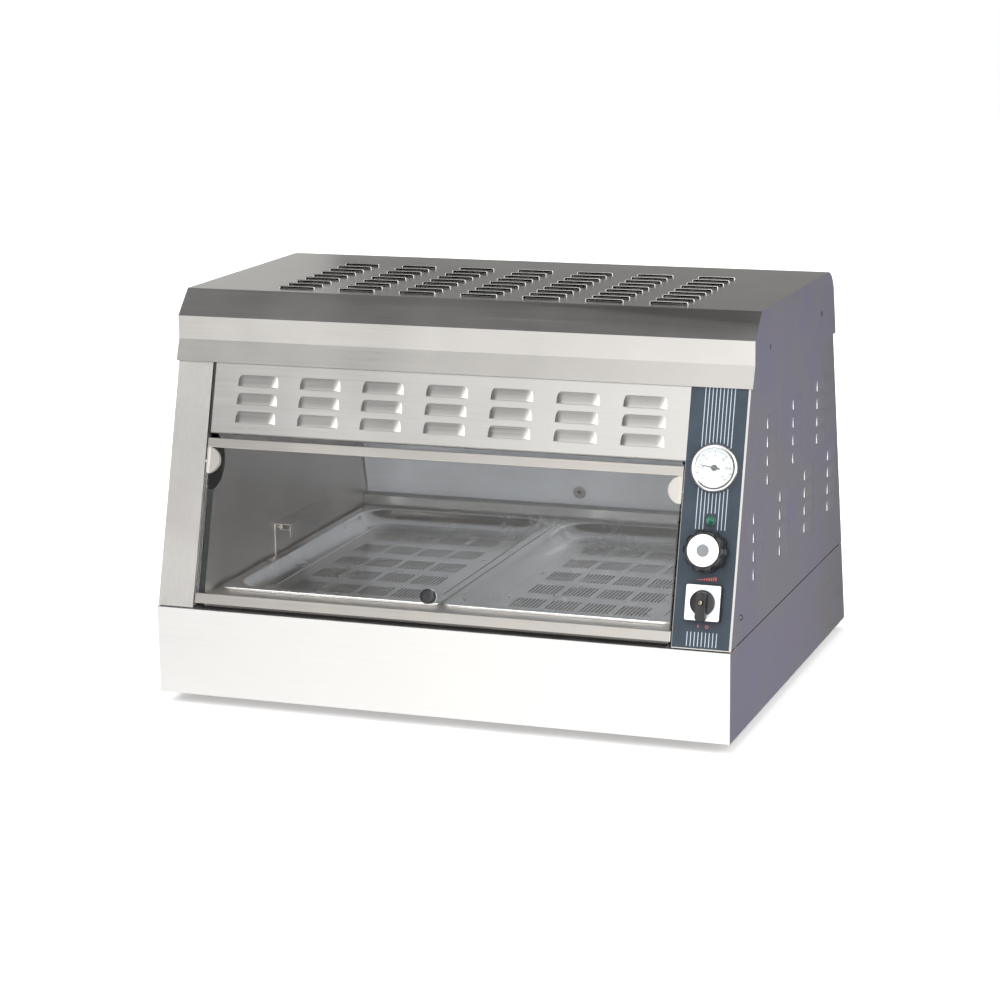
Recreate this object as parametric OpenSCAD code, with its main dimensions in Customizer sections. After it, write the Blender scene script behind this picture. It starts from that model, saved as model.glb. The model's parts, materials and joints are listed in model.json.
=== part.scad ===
// Countertop heated display case for two full-size perforated food pans.
// Origin: centre of the footprint on the counter. +X right, front faces -Y, +Z up. Millimetres.

/* [Case] */
// Width over the hood
case_w = 820; // [800:5:880]
// Depth of the base, front to back
body_d = 658; // [640:2:700]
// Height from the counter to the sheet of the hood's top
case_h = 560; // [540:5:600]
// Height of the rubber feet
foot_h = 16; // [12:1:20]
// Height of the base box above the feet
base_h = 122; // [112:2:134]
// Height of the hood
hood_h = 94.6; // [90:1:105]
// Lean of the front from the vertical, degrees
front_tilt = 15.92; // [14:0.2:17]
// Lean of the rear from the vertical, degrees
rear_tilt = 12.68; // [11:0.2:13]

/* [Sheet] */
// Thickness of the outer skins
skin = 1.5; // [1.2:0.1:1.8]
// Thickness of the inner panels
liner = 1.2; // [1:0.1:1.4]
// Depth of the folded edges beside the doors
hem = 14; // [12:1:15]

/* [Control column] */
// Width of the control panel at the right of the front
controls_w = 80; // [76:1:92]
// How far the control panel wraps round onto the right side
controls_wrap = 22; // [16:1:30]
// Diameter of the thermometer bezel
dial_d = 63; // [56:1:64]
// Diameter of the thermostat knob
knob_d = 57; // [50:1:58]
// Number of grip lobes on the thermostat knob
knob_lobes = 10; // [8:1:14]

/* [Doors] */
// Thickness of the front glass
glass_t = 5; // [4:1:5]
// Radius of the hinge pins
pin_r = 3; // [2.5:0.5:3.5]
// Diameter of the round door pulls
pull_d = 20; // [16:1:26]

/* [Vents] */
// Columns of slots in the hood top
hood_cols = 7; // [3:1:7]
// Rows of slots in the hood top
hood_rows = 9; // [4:1:9]
// Columns of louvres in the front panel
louvre_cols = 7; // [3:1:7]
// Rows of louvres in the front panel
louvre_rows = 3; // [1:1:3]

/* [Pans] */
// Width of one food pan
pan_w = 325; // [320:1:326]
// Length of one food pan
pan_l = 530; // [500:5:532]
// Depth of one food pan
pan_depth = 20; // [20:1:40]

/* [Hidden] */
$fn = 48;

// Colours
steel = "silver";
bright = "gainsboro";
black = [0.08, 0.08, 0.09];
white = "whitesmoke";

// Fits
run_clear = 0.05;      // a pin turning in its hole, on the radius
gap = 0.3;             // between parts that move past each other
drill = 0.4;           // screw in a clearance hole, on the radius
seam = 1.2;            // shadow gap above the base
overcut = 1;           // how far a cutting solid runs past a face

// Main planes
half_w = case_w/2 - 3;
base_z = foot_h + base_h;
hood_z = case_h - hood_h;
front_y = -body_d/2;
slope_y = front_y + 3;
front_tan = tan(front_tilt);
rear_tan = tan(rear_tilt);
function front_at(z) = slope_y + (z - base_z)*front_tan;
function rear_at(z) = body_d/2 - (z - foot_h)*rear_tan;

// Heights along the front slope
function front_s(z) = (z - base_z)/cos(front_tilt);
strip_top_z = hood_z + 12.6;
fold_low_z = base_z + 2*seam;
fold_top_z = strip_top_z - 2;
side_top_z = hood_z + 54;
slope_top = front_s(strip_top_z);
louvre_s = front_s(hood_z) - 98;
rail_top_s = louvre_s - 6.5;
rail_h = 13;
plate_h = 36;
plate_s = rail_top_s - rail_h - plate_h;
axis_s = plate_s + plate_h/2 - 1.5;
axis_n = -5.5;
bottom_rail_s = 8;

// Width positions
pillar_in = -half_w + 52;
controls_in = half_w - controls_w;
door_l = pillar_in + 1.5;
door_r = controls_in - 2;
pan_gap = 2;
cavity_mid = (pillar_in + controls_in)/2;
cavity_l = cavity_mid - pan_w - pan_gap/2 - 5;
cavity_r = cavity_mid + pan_w + pan_gap/2 + 7;

// Heights inside
deck_z = base_z + 14;
pan_z = deck_z + 4;
ceiling_z = hood_z - 95.9;
well_floor_z = foot_h + 44;
pan_y = -3;
deck_front_y = front_at(deck_z) + 13;
fold_buried = skin/2;
deck_rear_y = pan_y + pan_l/2 + 3.5;
sill_z = deck_z + 20;

// Positions on the rear slope
function rear_s(z) = (z - base_z)/cos(rear_tilt);
rear_strip_top = rear_s(hood_z + 14);
sill_s = rear_s(sill_z);
header_s = sill_s + 190;
rear_axis_s = header_s - 12;
rear_axis_n = -6;
rear_door_t = 10;

// Control positions: across the panel, and up the slope
ctl_x = controls_in + 40;
dial_s = 236;
lamp_s = 168;
knob_s = 128;
switch_s = 61.5;
overlay_t = 0.6;

// Sloping frames: x across, y up the slope, z outward
module on_front() translate([0, slope_y, base_z]) rotate([90 - front_tilt, 0, 0]) children();
module on_rear() {
    translate([0, rear_at(base_z), base_z]) mirror([0, 1, 0]) rotate([90 - rear_tilt, 0, 0]) children();
}
// A (y, z) outline extruded from x0 to x1
module across(x0, x1) translate([x0, 0, 0]) rotate([90, 0, 90]) linear_extrude(x1 - x0) children();
module block(low, high) translate(low) cube(high - low);

// Side outline between the sloping planes, from z0 to z1, moved inward by the two insets
module side_outline(z0, z1, front_in = 0, rear_in = 0) {
    polygon([[front_at(z0) + front_in, z0], [rear_at(z0) - rear_in, z0],
        [rear_at(z1) - rear_in, z1], [front_at(z1) + front_in, z1]]);
}
// The same with no insets up to z1, then set back at the front up to z2
module stepped_outline(z0, z1, z2, back) {
    polygon([[front_at(z0), z0], [rear_at(z0), z0], [rear_at(z2), z2],
        [front_at(z2) + back, z2], [front_at(z1) + back, z1], [front_at(z1), z1]]);
}
// Band behind the front slope from z0 to z1, between two depths measured level
module front_fold(x0, x1, z0, z1, depth, start = fold_buried) across(x0, x1) {
    polygon([[front_at(z0) + start, z0], [front_at(z0) + depth, z0],
        [front_at(z1) + depth, z1], [front_at(z1) + start, z1]]);
}
// The same behind the rear slope
module rear_fold(x0, x1, z0, z1, depth, start = fold_buried) across(x0, x1) {
    polygon([[rear_at(z0) - depth, z0], [rear_at(z0) - start, z0],
        [rear_at(z1) - start, z1], [rear_at(z1) - depth, z1]]);
}
// A point s up the front slope and n outward from it
function slope_out(s, n) = slope_y + s*sin(front_tilt) - n*cos(front_tilt);
function slope_up(s, n) = base_z + s*cos(front_tilt) + n*sin(front_tilt);
function on_slope(x, s, n) = [x, slope_out(s, n), slope_up(s, n)];
module base_outline(t = 0, drop = 0) {
    polygon([[front_y + t, foot_h - drop], [rear_at(foot_h - drop) - t, foot_h - drop],
        [rear_at(base_z - t) - t, base_z - t], [front_y + t, base_z - t]]);
}
module rounded(w, d, r) {
    square([w - 2*r, d], center = true);
    square([w, d - 2*r], center = true);
    for (sx = [-1, 1], sy = [-1, 1]) translate([sx*(w/2 - r), sy*(d/2 - r)]) circle(r);
}
module slot2d(length, width) {
    square([length - width, width], center = true);
    for (s = [-1, 1]) translate([s*(length - width)/2, 0]) circle(width/2);
}
// Tube or wire through a list of points, with slightly larger balls at the corners
module run(points, r) {
    for (i = [0:len(points) - 2]) {
        step = points[i + 1] - points[i];
        size = norm(step);
        translate(points[i]) rotate([0, acos(step[2]/size), atan2(step[1], step[0])])
            cylinder(r = r, h = size);
    }
    for (i = [1:len(points) - 2]) translate(points[i]) sphere(1.2*r);
}

// ---- Base ----
foot_x = half_w - 62;
foot_y = body_d/2 - 94;
foot_r = 15;
module at_feet() for (sx = [-1, 1], sy = [-1, 1]) translate([sx*foot_x, sy*foot_y, 0]) children();
module rubber_feet() color(black) at_feet() difference() {
    union() {
        cylinder(r1 = foot_r - 2, r2 = foot_r, h = foot_h/2);
        translate([0, 0, foot_h/2]) cylinder(r = foot_r, h = foot_h/2);
    }
    translate([0, 0, -overcut]) cylinder(r = 5.5, h = 6 + overcut);
    cylinder(r = 2 + drill, h = foot_h + overcut);
}
module foot_screws() color(bright) at_feet() {
    translate([0, 0, 2.5]) cylinder(r = 4.5, h = 3.5);
    translate([0, 0, 6]) cylinder(r = 2, h = foot_h + 6);
    translate([0, 0, foot_h + skin]) cylinder(r = 4, h = 3.2, $fn = 6);
}

tub_l = cavity_l + 11;
tub_r = cavity_r - 14;
tub_f = pan_y - pan_l/2 + 7;
tub_b = pan_y + pan_l/2 - 7;
gland_x = half_w - 62;
gland_z = base_z - 66;
gland_r = 9;
module at_gland() {
    translate([gland_x, rear_at(gland_z), gland_z]) rotate([rear_tilt - 90, 0, 0]) children();
}
service_l = cavity_r + 12;
service_r = half_w - 14;
module base_shell() color(bright) difference() {
    across(-half_w, half_w) base_outline();
    across(-half_w + skin, half_w - skin) base_outline(skin, overcut);
    block([tub_l - 1, tub_f - 1, base_z - skin - overcut], [tub_r + 1, tub_b + 1, base_z + overcut]);
    block([service_l, tub_f, base_z - skin - overcut], [service_r, tub_b, base_z + overcut]);
    block([duct_x - 8, duct_y - 30, base_z - skin - overcut], [duct_x + 4, duct_y, base_z + overcut]);
    at_gland() cylinder(r = gland_r + drill, h = 40, center = true);
}
vent_cols = 8;
vent_pitch = 70;
vent_y = 150;
module base_floor() color(steel) difference() {
    block([-half_w + skin, front_y + skin, foot_h],
        [half_w - skin, rear_at(foot_h) - skin - 1, foot_h + skin]);
    at_feet() cylinder(r = 2 + drill, h = foot_h + 2*skin + overcut);
    for (i = [0:vent_cols - 1], sy = [-1, 1]) {
        translate([(i - (vent_cols - 1)/2)*vent_pitch, sy*vent_y, foot_h - overcut])
            linear_extrude(skin + 2*overcut) slot2d(44, 6);
    }
}
element_z = well_floor_z + 30;
element_r = 4;
element_ends = [-40, -12, 12, 40];
module well_tray() color(steel) difference() {
    union() {
        block([cavity_l + 4, deck_front_y + 4, base_z], [cavity_r - 4, deck_rear_y - 3, base_z + liner]);
        block([tub_l, tub_f, well_floor_z], [tub_r, tub_b, base_z + liner]);
    }
    block([tub_l + liner, tub_f + liner, well_floor_z + liner],
        [tub_r - liner, tub_b - liner, base_z + liner + overcut]);
    for (y = element_ends) {
        translate([tub_r, y, element_z]) rotate([0, 90, 0])
            cylinder(r = element_r + 0.2, h = 20, center = true);
    }
}
module pan_deck() color(steel) difference() {
    block([cavity_l, deck_front_y, base_z], [cavity_r, deck_rear_y, deck_z]);
    block([cavity_l + liner, deck_front_y + liner, base_z - overcut],
        [cavity_r - liner, deck_rear_y - liner, deck_z - liner]);
    for (side = [-1, 1]) {
        translate([cavity_mid + side*(pan_w + pan_gap)/2, pan_y, deck_z - liner - overcut])
            linear_extrude(liner + 2*overcut) rounded(pan_w - 24, pan_l - 24, 30);
    }
}

// ---- Heating element in the well ----
leg_end = tub_r + 16;
bend_l = tub_l + 104;
bend_r = tub_r - 114;
inner_y = element_ends[2];
outer_y = element_ends[3];
far_y = 180;
module element_bend(x, y0, y1, turn) {
    translate([x, (y0 + y1)/2, element_z]) rotate([0, 0, turn])
        rotate_extrude(angle = 180) translate([abs(y1 - y0)/2, 0]) circle(element_r);
}
module element_leg(x0, x1, y) {
    translate([x0, y, element_z]) rotate([0, 90, 0]) cylinder(r = element_r, h = x1 - x0);
}
module heating_element() color([0.35, 0.33, 0.32]) for (s = [-1, 1]) {
    element_leg(bend_l, leg_end, s*inner_y);
    element_leg(bend_r, leg_end, s*outer_y);
    element_leg(bend_l, bend_r, s*far_y);
    element_bend(bend_l, s*inner_y, s*far_y, 90);
    element_bend(bend_r, s*outer_y, s*far_y, -90);
}
clip_xs = [bend_l + 40, bend_r - 60];
clip_w = 12;
clip_y = far_y + 10;
module element_clips() color(steel) for (x = clip_xs) difference() {
    block([x, -clip_y, well_floor_z + liner], [x + clip_w, clip_y, element_z - element_r]);
    block([x + liner, -clip_y - overcut, well_floor_z],
        [x + clip_w + overcut, clip_y + overcut, element_z - element_r - liner]);
}

// ---- Side panels ----
louvre_l = 52;
louvre_h = 17.5;
louvre_out = 5;
// A pressed louvre: local x along, y up, z outward, open edge at y = 0
module louvre_body(length, height, out, r) {
    reach = length/2 - height;
    translate([0, 0, out - r]) {
        rotate([0, 90, 0]) cylinder(r = r, h = 2*reach, center = true);
        for (s = [-1, 1]) translate([s*reach, 0, 0]) sphere(r);
    }
}
module louvre(length, height, out) {
    r = (height*height + out*out)/(2*out);
    intersection() {
        difference() {
            louvre_body(length, height, out, r);
            louvre_body(length, height, out, r - liner);
        }
        block([-length, 0, -skin], [length, 2*height, 2*out]);
    }
}
module louvre_cut(length, height) {
    block([-length/2 + 4, -0.01, -skin - overcut], [length/2 - 4, height - 5.5, overcut]);
}
side_cols = 7;
side_rows = 4;
side_pitch_y = 70;
side_pitch_z = 25;
side_first_y = -192;
module at_side_louvres() for (c = [0:side_cols - 1], r = [0:side_rows - 1]) {
    low = c % 2 == 0 ? base_z + 70.5 : base_z + 184;
    translate([half_w, side_first_y + c*side_pitch_y, low + r*side_pitch_z]) rotate([90, 0, 90]) children();
}
screw_y = [-145, 143];
screw_z = hood_z + 40.5;
module side_screw_holes() for (y = screw_y) {
    translate([0, y, screw_z]) rotate([0, 90, 0]) cylinder(r = 2 + drill, h = 2*half_w + 20, center = true);
}
side_screw_z = base_z + 35;
side_screw_y = front_at(side_screw_z) + controls_wrap + 16;
module panel_foot(x0, x1, front_in) {
    block([x0, front_at(base_z) + front_in, base_z], [x1, rear_at(base_z) - 20, base_z + skin + seam]);
}
module pin_hole(x) {
    translate([x, 0, 0]) rotate([0, 90, 0]) cylinder(r = pin_r + run_clear, h = 20, center = true);
}
// Folded edge beside the front door, with the hinge pin's hole
module front_hem(x0) difference() {
    front_fold(x0, x0 + skin, fold_low_z, fold_top_z, hem);
    on_front() translate([0, axis_s, axis_n]) pin_hole(x0);
}
module rear_strip(x0, x1, hem_x) {
    on_rear() block([x0, seam, -skin], [x1, rear_strip_top, 0]);
    difference() {
        rear_fold(hem_x, hem_x + skin, fold_low_z, fold_top_z, hem);
        on_rear() translate([0, rear_axis_s, rear_axis_n]) pin_hole(hem_x);
    }
}
module left_side_panel() color(steel) difference() {
    union() {
        across(-half_w, -half_w + skin) stepped_outline(base_z + seam, strip_top_z + 2, side_top_z, 3);
        panel_foot(-half_w, -half_w + 20, 16);
        on_front() block([-half_w, seam, -skin], [pillar_in, slope_top, 0]);
        front_hem(pillar_in - skin);
        rear_strip(-half_w, cavity_l, cavity_l - skin);
    }
    side_screw_holes();
}
module right_side_panel() color([0.5, 0.5, 0.53]) difference() {
    union() {
        difference() {
            across(half_w - skin, half_w) side_outline(base_z + seam, side_top_z, controls_wrap + 0.6);
            at_side_louvres() louvre_cut(louvre_l, louvre_h);
        }
        at_side_louvres() louvre(louvre_l, louvre_h, louvre_out - 2);
        panel_foot(half_w - 20, half_w, controls_wrap + 4);
        rear_strip(cavity_r, half_w, cavity_r);
    }
    side_screw_holes();
    at_side_screw() cylinder(r = 2 + drill, h = 20, center = true);
}
module at_side_screw() translate([half_w, side_screw_y, side_screw_z]) rotate([0, 90, 0]) children();
module side_screws() color(bright) at_side_screw() {
    cylinder(r1 = 4, r2 = 2.8, h = 2);
    translate([0, 0, -8]) cylinder(r = 2, h = 8);
}

// ---- Inner panels ----
liner_in = hem + 2;
flange_s = (liner_in + liner)*front_tan + seam;
pin_notch = rail_top_s - axis_s + 6;
module liner_plate(x0, x1) difference() {
    across(x0, x1) side_outline(base_z, ceiling_z, liner_in, hem);
    on_front() translate([x0, axis_s, axis_n]) rotate([0, 90, 0])
        cylinder(r = pin_notch, h = 20, center = true);
}
module left_liner() color(steel) {
    difference() {
        liner_plate(cavity_l - liner, cavity_l);
        capillary_holes();
    }
    on_front() {
        block([pillar_in, flange_s, -liner_in - liner], [cavity_l, axis_s - pin_notch, -liner_in]);
    }
}
module right_liner() color(steel) {
    liner_plate(cavity_r, cavity_r + liner);
    on_front() {
        block([cavity_r, flange_s, -liner_in - liner], [controls_in + liner, axis_s - pin_notch, -liner_in]);
    }
}
lamp_y = [-90, 90];
lamp_l = cavity_l + 50;
lamp_r = cavity_r - 50;
lamp_window = 44;
ceiling_in = hem + 3;
ceiling_f = front_at(ceiling_z) + ceiling_in;
ceiling_b = rear_at(ceiling_z) - hem - 2;
ceiling_fold_z = ceiling_z + 40;
module ceiling_panel() color(steel) difference() {
    across(cavity_l - liner, cavity_r + liner) polygon([[ceiling_f, ceiling_z], [ceiling_b, ceiling_z],
        [ceiling_b, ceiling_z + liner], [ceiling_f + 2*liner, ceiling_z + liner],
        [front_at(ceiling_fold_z) + ceiling_in + liner, ceiling_fold_z],
        [front_at(ceiling_fold_z) + ceiling_in, ceiling_fold_z]]);
    for (y = lamp_y) {
        block([lamp_l, y - lamp_window, ceiling_z - overcut],
            [lamp_r, y + lamp_window, ceiling_z + liner + overcut]);
    }
}
module rear_sill() color(steel) across(cavity_l, cavity_r) {
    low_z = base_z + seam;
    depth = skin/cos(rear_tilt);
    polygon([[deck_rear_y, base_z], [deck_rear_y + liner, base_z], [deck_rear_y + liner, sill_z - liner],
        [rear_at(sill_z - liner) - depth, sill_z - liner], [rear_at(low_z) - depth, low_z],
        [rear_at(low_z), low_z], [rear_at(sill_z), sill_z], [deck_rear_y, sill_z]]);
}
module rear_header() color(steel) {
    on_rear() block([cavity_l, header_s, -skin], [cavity_r, rear_strip_top, 0]);
    on_rear() block([cavity_l, header_s, -hem - 2], [cavity_r, header_s + skin, 0]);
}
guard_top = 48;
guard_w = 25;
guard_lip = 18;
guard_len = 148;
guard_y = -69;
module probe_guard() color(steel) difference() {
    translate([cavity_l, guard_y, deck_z]) {
        block([0, 0, 0], [liner, guard_len, guard_top]);
        block([0, 0, guard_top - liner], [guard_w, guard_len, guard_top]);
        block([guard_w - liner, 0, guard_top - guard_lip], [guard_w, guard_len, guard_top]);
    }
    capillary_holes();
}

// ---- Hood ----
band_z = hood_z + 28.8;
brow_z = hood_z + 60.8;
brow_y = front_at(band_z) - 0.5;
skirt_out = 3.3;
rear_r = 42;
// Hood outline, t inside the outer skin and reaching drop below the skirt
module hood_outline(t = 0, drop = 0) {
    front_b = front_at(hood_z) - skirt_out + t;
    rear_b = rear_at(hood_z) + skirt_out - t;
    top = case_h - t;
    rear_t = rear_b - (top - hood_z)*rear_tan;
    r = rear_r - t;
    reach = r*tan(45 - rear_tilt/2);
    arc_y = rear_t - reach;
    difference() {
        polygon([[front_b, hood_z - drop], [rear_b, hood_z - drop], [rear_b, hood_z], [rear_t, top],
            [brow_y + t/2 + 33, top], [brow_y + t, brow_z], [brow_y + t, band_z], [front_b, hood_z]]);
        difference() {
            polygon([[arc_y, top + overcut], [rear_t + 20, top + overcut], [rear_t + 20, top - r],
                [arc_y + r*cos(rear_tilt), top - r + r*sin(rear_tilt)], [arc_y, top - r]]);
            translate([arc_y, top - r]) circle(r, $fn = 96);
        }
    }
}
slot_l = 51.5;
slot_pitch_x = 88.9;
slot_pitch_y = 29.4;
slot_mid_x = 10;
slot_mid_y = -47.5;
lip_h = 4.2;
lip_d = 12;
screw_sunk = 0.6;
function slot_x(c) = slot_mid_x + (c - (hood_cols - 1)/2)*slot_pitch_x;
function slot_y(r) = slot_mid_y + (r - (hood_rows - 1)/2)*slot_pitch_y;
module at_hood_slots() for (c = [0:hood_cols - 1], r = [0:hood_rows - 1]) {
    translate([slot_x(c), slot_y(r)]) children();
}
// A lip pressed up from the hood's top, its mouth facing the front
module lip_body() across(-slot_l/2 - liner, slot_l/2 + liner) {
    polygon([[0, -skin/2], [lip_d, -skin/2], [lip_d, 0], [0, lip_h]]);
}
module lip_mouth() across(-slot_l/2, slot_l/2) {
    under = -skin - overcut;
    polygon([[-overcut, under], [(lip_h - liner - under)*lip_d/lip_h, under], [0, lip_h - liner],
        [-overcut, lip_h - liner]]);
}
module hood() color(steel) difference() {
    union() {
        across(-case_w/2, case_w/2) hood_outline();
        translate([0, 0, case_h]) at_hood_slots() lip_body();
    }
    across(-case_w/2 + skin, case_w/2 - skin) hood_outline(skin, overcut);
    translate([0, 0, case_h]) at_hood_slots() lip_mouth();
    for (y = screw_y) {
        translate([0, y, screw_z]) rotate([0, 90, 0])
            cylinder(r = 2 + drill, h = case_w + 10, center = true);
        for (s = [-1, 1]) {
            translate([s*(case_w/2 - screw_sunk), y, screw_z]) rotate([0, s*90, 0])
                cylinder(r = 4.2 + drill, h = 4);
        }
    }
}
module hood_screws() color(bright) for (y = screw_y, s = [-1, 1]) {
    translate([s*case_w/2, y, screw_z]) rotate([0, s*90, 0]) {
        translate([0, 0, -screw_sunk]) cylinder(r = 4.2, h = screw_sunk);
        translate([0, 0, -10]) cylinder(r = 2, h = 10);
    }
}

// ---- Louvred front panel ----
front_louvre_l = 59.5;
front_louvre_h = 16;
front_pitch_x = 92;
front_pitch_s = 25;
first_louvre_x = pillar_in + 70;
first_louvre_s = louvre_s + 16;
module at_front_louvres() on_front() for (c = [0:louvre_cols - 1], r = [0:louvre_rows - 1]) {
    translate([first_louvre_x + c*front_pitch_x, first_louvre_s + r*front_pitch_s, 0]) children();
}
module louvre_panel() color(bright) {
    difference() {
        on_front() {
            block([pillar_in + 2, louvre_s, -skin], [controls_in, slope_top, 0]);
            block([pillar_in + 2, louvre_s, -hem], [controls_in, louvre_s + skin, 0]);
        }
        at_front_louvres() louvre_cut(front_louvre_l, front_louvre_h);
    }
    at_front_louvres() louvre(front_louvre_l, front_louvre_h, louvre_out);
}

// ---- Control panel ----
can_r = dial_d/2 - 3.5;
module control_holes(depth) {
    translate([ctl_x, dial_s, 0]) cylinder(r = can_r + drill, h = depth, center = true);
    translate([ctl_x, lamp_s, 0]) cylinder(r = 5 + drill, h = depth, center = true);
    translate([ctl_x, knob_s, 0]) cylinder(r = 5 + drill, h = depth, center = true);
    translate([ctl_x, switch_s, 0]) cylinder(r = 10 + drill, h = depth, center = true);
}
module control_panel() color(steel) {
    on_front() difference() {
        block([controls_in, seam, -skin], [half_w, slope_top, 0]);
        control_holes(20);
    }
    front_hem(controls_in);
    front_fold(half_w - skin, half_w, fold_low_z, fold_top_z, controls_wrap);
}
module fascia_overlay() color([0.27, 0.31, 0.36]) on_front() difference() {
    block([controls_in + 0.5, 2.5, 0], [half_w - 3, slope_top - 2, overlay_t]);
    control_holes(20);
}
// Thermometer
module at_dial() on_front() translate([ctl_x, dial_s, 0]) children();
spindle_r = 1;
module thermometer_case() color("dimgray") at_dial() {
    difference() {
        translate([0, 0, can_back]) cylinder(r = can_r, h = overlay_t + 3 - can_back);
        translate([0, 0, can_back + 1.5]) cylinder(r = can_r - 1.2, h = 40);
    }
    translate([0, 0, can_back + 1.5]) cylinder(r = spindle_r, h = 3.5 - can_back);
}
module thermometer_bezel() color("lightgray") at_dial() rotate_extrude($fn = 72) {
    polygon([[can_r, overlay_t], [dial_d/2, overlay_t], [dial_d/2, 6], [dial_d/2 - 1.5, 7.8],
        [dial_d/2 - 3, 7.8], [dial_d/2 - 3.5, 6.6], [can_r - 1.2, 6.6], [can_r - 1.2, overlay_t + 3],
        [can_r, overlay_t + 3]]);
}
module thermometer_dial() color(white) at_dial() difference() {
    translate([0, 0, 2.2]) cylinder(r = can_r - 1.3, h = 0.8, $fn = 72);
    cylinder(r = spindle_r + 0.3, h = 10);
}
needle_rest = 171;
module thermometer_needle() color(black) at_dial() translate([0, 0, 3.6]) linear_extrude(0.8) difference() {
    union() {
        circle(4);
        rotate(needle_rest) translate([-7.5, -0.6]) square([27.5, 1.2]);
    }
    circle(spindle_r + run_clear);
}
module thermometer_lens() color([0.8, 0.9, 0.95, 0.35]) at_dial() {
    translate([0, 0, 5.4]) cylinder(r = can_r - 1.3, h = 1.2, $fn = 72);
}
bulb_r = 3;
bulb_l = 85;
duct_x = cavity_l - 14;
duct_y = -40;
low_z = foot_h + 20;
capillary_r = 0.8;
// Near ends of the two bulbs, tucked side by side above the guard's lip
bulb_at = [[cavity_l + 6.5, -62, deck_z + guard_top - 6], [cavity_l + 16, -50, deck_z + guard_top - 13]];
module capillary_holes() for (p = bulb_at) {
    translate([cavity_l, p[1], p[2]]) rotate([0, 90, 0])
        cylinder(r = capillary_r + drill, h = 10, center = true);
}
// A bulb, its capillary down the duct at x0, under the well and up behind the controls at x1
module probe(bulb, x0, x1, s, n) {
    y = bulb[1];
    translate(bulb) rotate([-90, 0, 0]) cylinder(r = bulb_r, h = bulb_l);
    run([bulb, [x0, y, bulb[2]], [x0, y, low_z], [x1, y, low_z], [x1, y, base_z + 40],
        on_slope(x1, s, n - 34), on_slope(x1, s, n)], capillary_r);
}
can_back = -26;
stat_back = -36;
module thermometer_probe() color("peru") probe(bulb_at[0], duct_x, ctl_x, dial_s, can_back);
module thermostat_probe() color("darkgoldenrod") {
    probe(bulb_at[1], duct_x - 4, ctl_x - 4, knob_s, stat_back);
}
// Pilot lamp
module pilot_lamp() color("dimgray") on_front() translate([ctl_x, lamp_s, 0]) difference() {
    union() {
        translate([0, 0, -22]) cylinder(r = 5, h = 22 + overlay_t);
        translate([0, 0, overlay_t]) cylinder(r = 7.3, h = 1.8);
    }
    translate([0, 0, 0]) cylinder(r = 4, h = 10);
}
module pilot_lens() color([0.1, 0.45, 0.3]) on_front() translate([ctl_x, lamp_s, 0]) {
    cylinder(r = 4, h = overlay_t + 1.8);
    intersection() {
        translate([0, 0, overlay_t + 1.8 - 3]) sphere(r = 6.6);
        translate([0, 0, overlay_t + 1.8]) cylinder(r = 6.6, h = 10);
    }
}
// Thermostat
shaft_r = 3;
module thermostat_body() color("gray") on_front() translate([ctl_x, knob_s, 0]) difference() {
    union() {
        block([-23, -23, stat_back], [23, 23, -skin]);
        translate([0, 0, -skin]) cylinder(r = 5, h = skin + 3.5);
    }
    translate([0, 0, -16]) cylinder(r = shaft_r + run_clear, h = 40);
}
knob_z = 2.4;
knob_h = 26;
knob_face_r = 21;
module thermostat_knob() color(black) on_front() translate([ctl_x, knob_s, 0]) {
    difference() {
        translate([0, 0, knob_z]) linear_extrude(knob_h) difference() {
            circle(knob_d/2);
            for (i = [0:knob_lobes - 1]) {
                rotate([0, 0, (i + 0.5)*360/knob_lobes]) translate([knob_d/2 + 3.4, 0]) circle(6.2);
            }
        }
        translate([0, 0, knob_z - overcut]) cylinder(r = 9, h = 3 + overcut);
        translate([0, 0, knob_z + knob_h - 2]) cylinder(r = knob_face_r, h = 4);
    }
    translate([0, 0, -14]) cylinder(r = shaft_r, h = 14 + knob_z + 6);
}
module thermostat_disc() color(white) on_front() translate([ctl_x, knob_s, knob_z + knob_h - 2]) {
    cylinder(r = knob_face_r, h = 2.4);
    cylinder(r = 8, h = 3);
}
// Rotary switch
plate_w = 47.5;
module switch_body() color("dimgray") on_front() translate([ctl_x, switch_s, 0]) difference() {
    union() {
        block([-21, -21, -46], [21, 21, -skin]);
        translate([0, 0, -skin]) cylinder(r = 10, h = skin + overlay_t);
    }
    translate([0, 0, -18]) cylinder(r = shaft_r + run_clear, h = 40);
}
module switch_plate() color(white) on_front() translate([ctl_x, switch_s, overlay_t]) difference() {
    linear_extrude(9) rounded(plate_w, plate_w, 3);
    translate([0, 0, -overcut]) cylinder(r = shaft_r + 0.5, h = 20);
}
module switch_handle() color(black) on_front() translate([ctl_x, switch_s, 0]) {
    difference() {
        union() {
            translate([0, 0, 10]) cylinder(r = 16.5, h = 3);
            intersection() {
                translate([0, 0, 13]) linear_extrude(11) translate([0, -5]) rounded(14.5, 38, 5);
                translate([0, -3, -16]) rotate([0, 90, 0])
                    cylinder(r = 40, h = 40, center = true, $fn = 96);
            }
        }
        translate([0, 0, 22]) cylinder(r = 3.2, h = 10);
    }
    translate([0, 0, -16]) cylinder(r = shaft_r, h = 26);
}
module switch_screw() color("silver") on_front() {
    translate([ctl_x, switch_s, 22]) cylinder(r = 3, h = 1.2);
}

// ---- Front door ----
door_back = axis_n - glass_t/2;
door_face = axis_n + glass_t/2;
module door_glass() color([0.75, 0.85, 0.85, 0.3]) on_front() difference() {
    block([door_l + 1.5, bottom_rail_s + 2, door_back], [door_r - 1.5, rail_top_s - 2, door_face]);
    translate([pull_x, pull_s, door_back]) cylinder(r = 3 + drill, h = 30, center = true);
}
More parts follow.
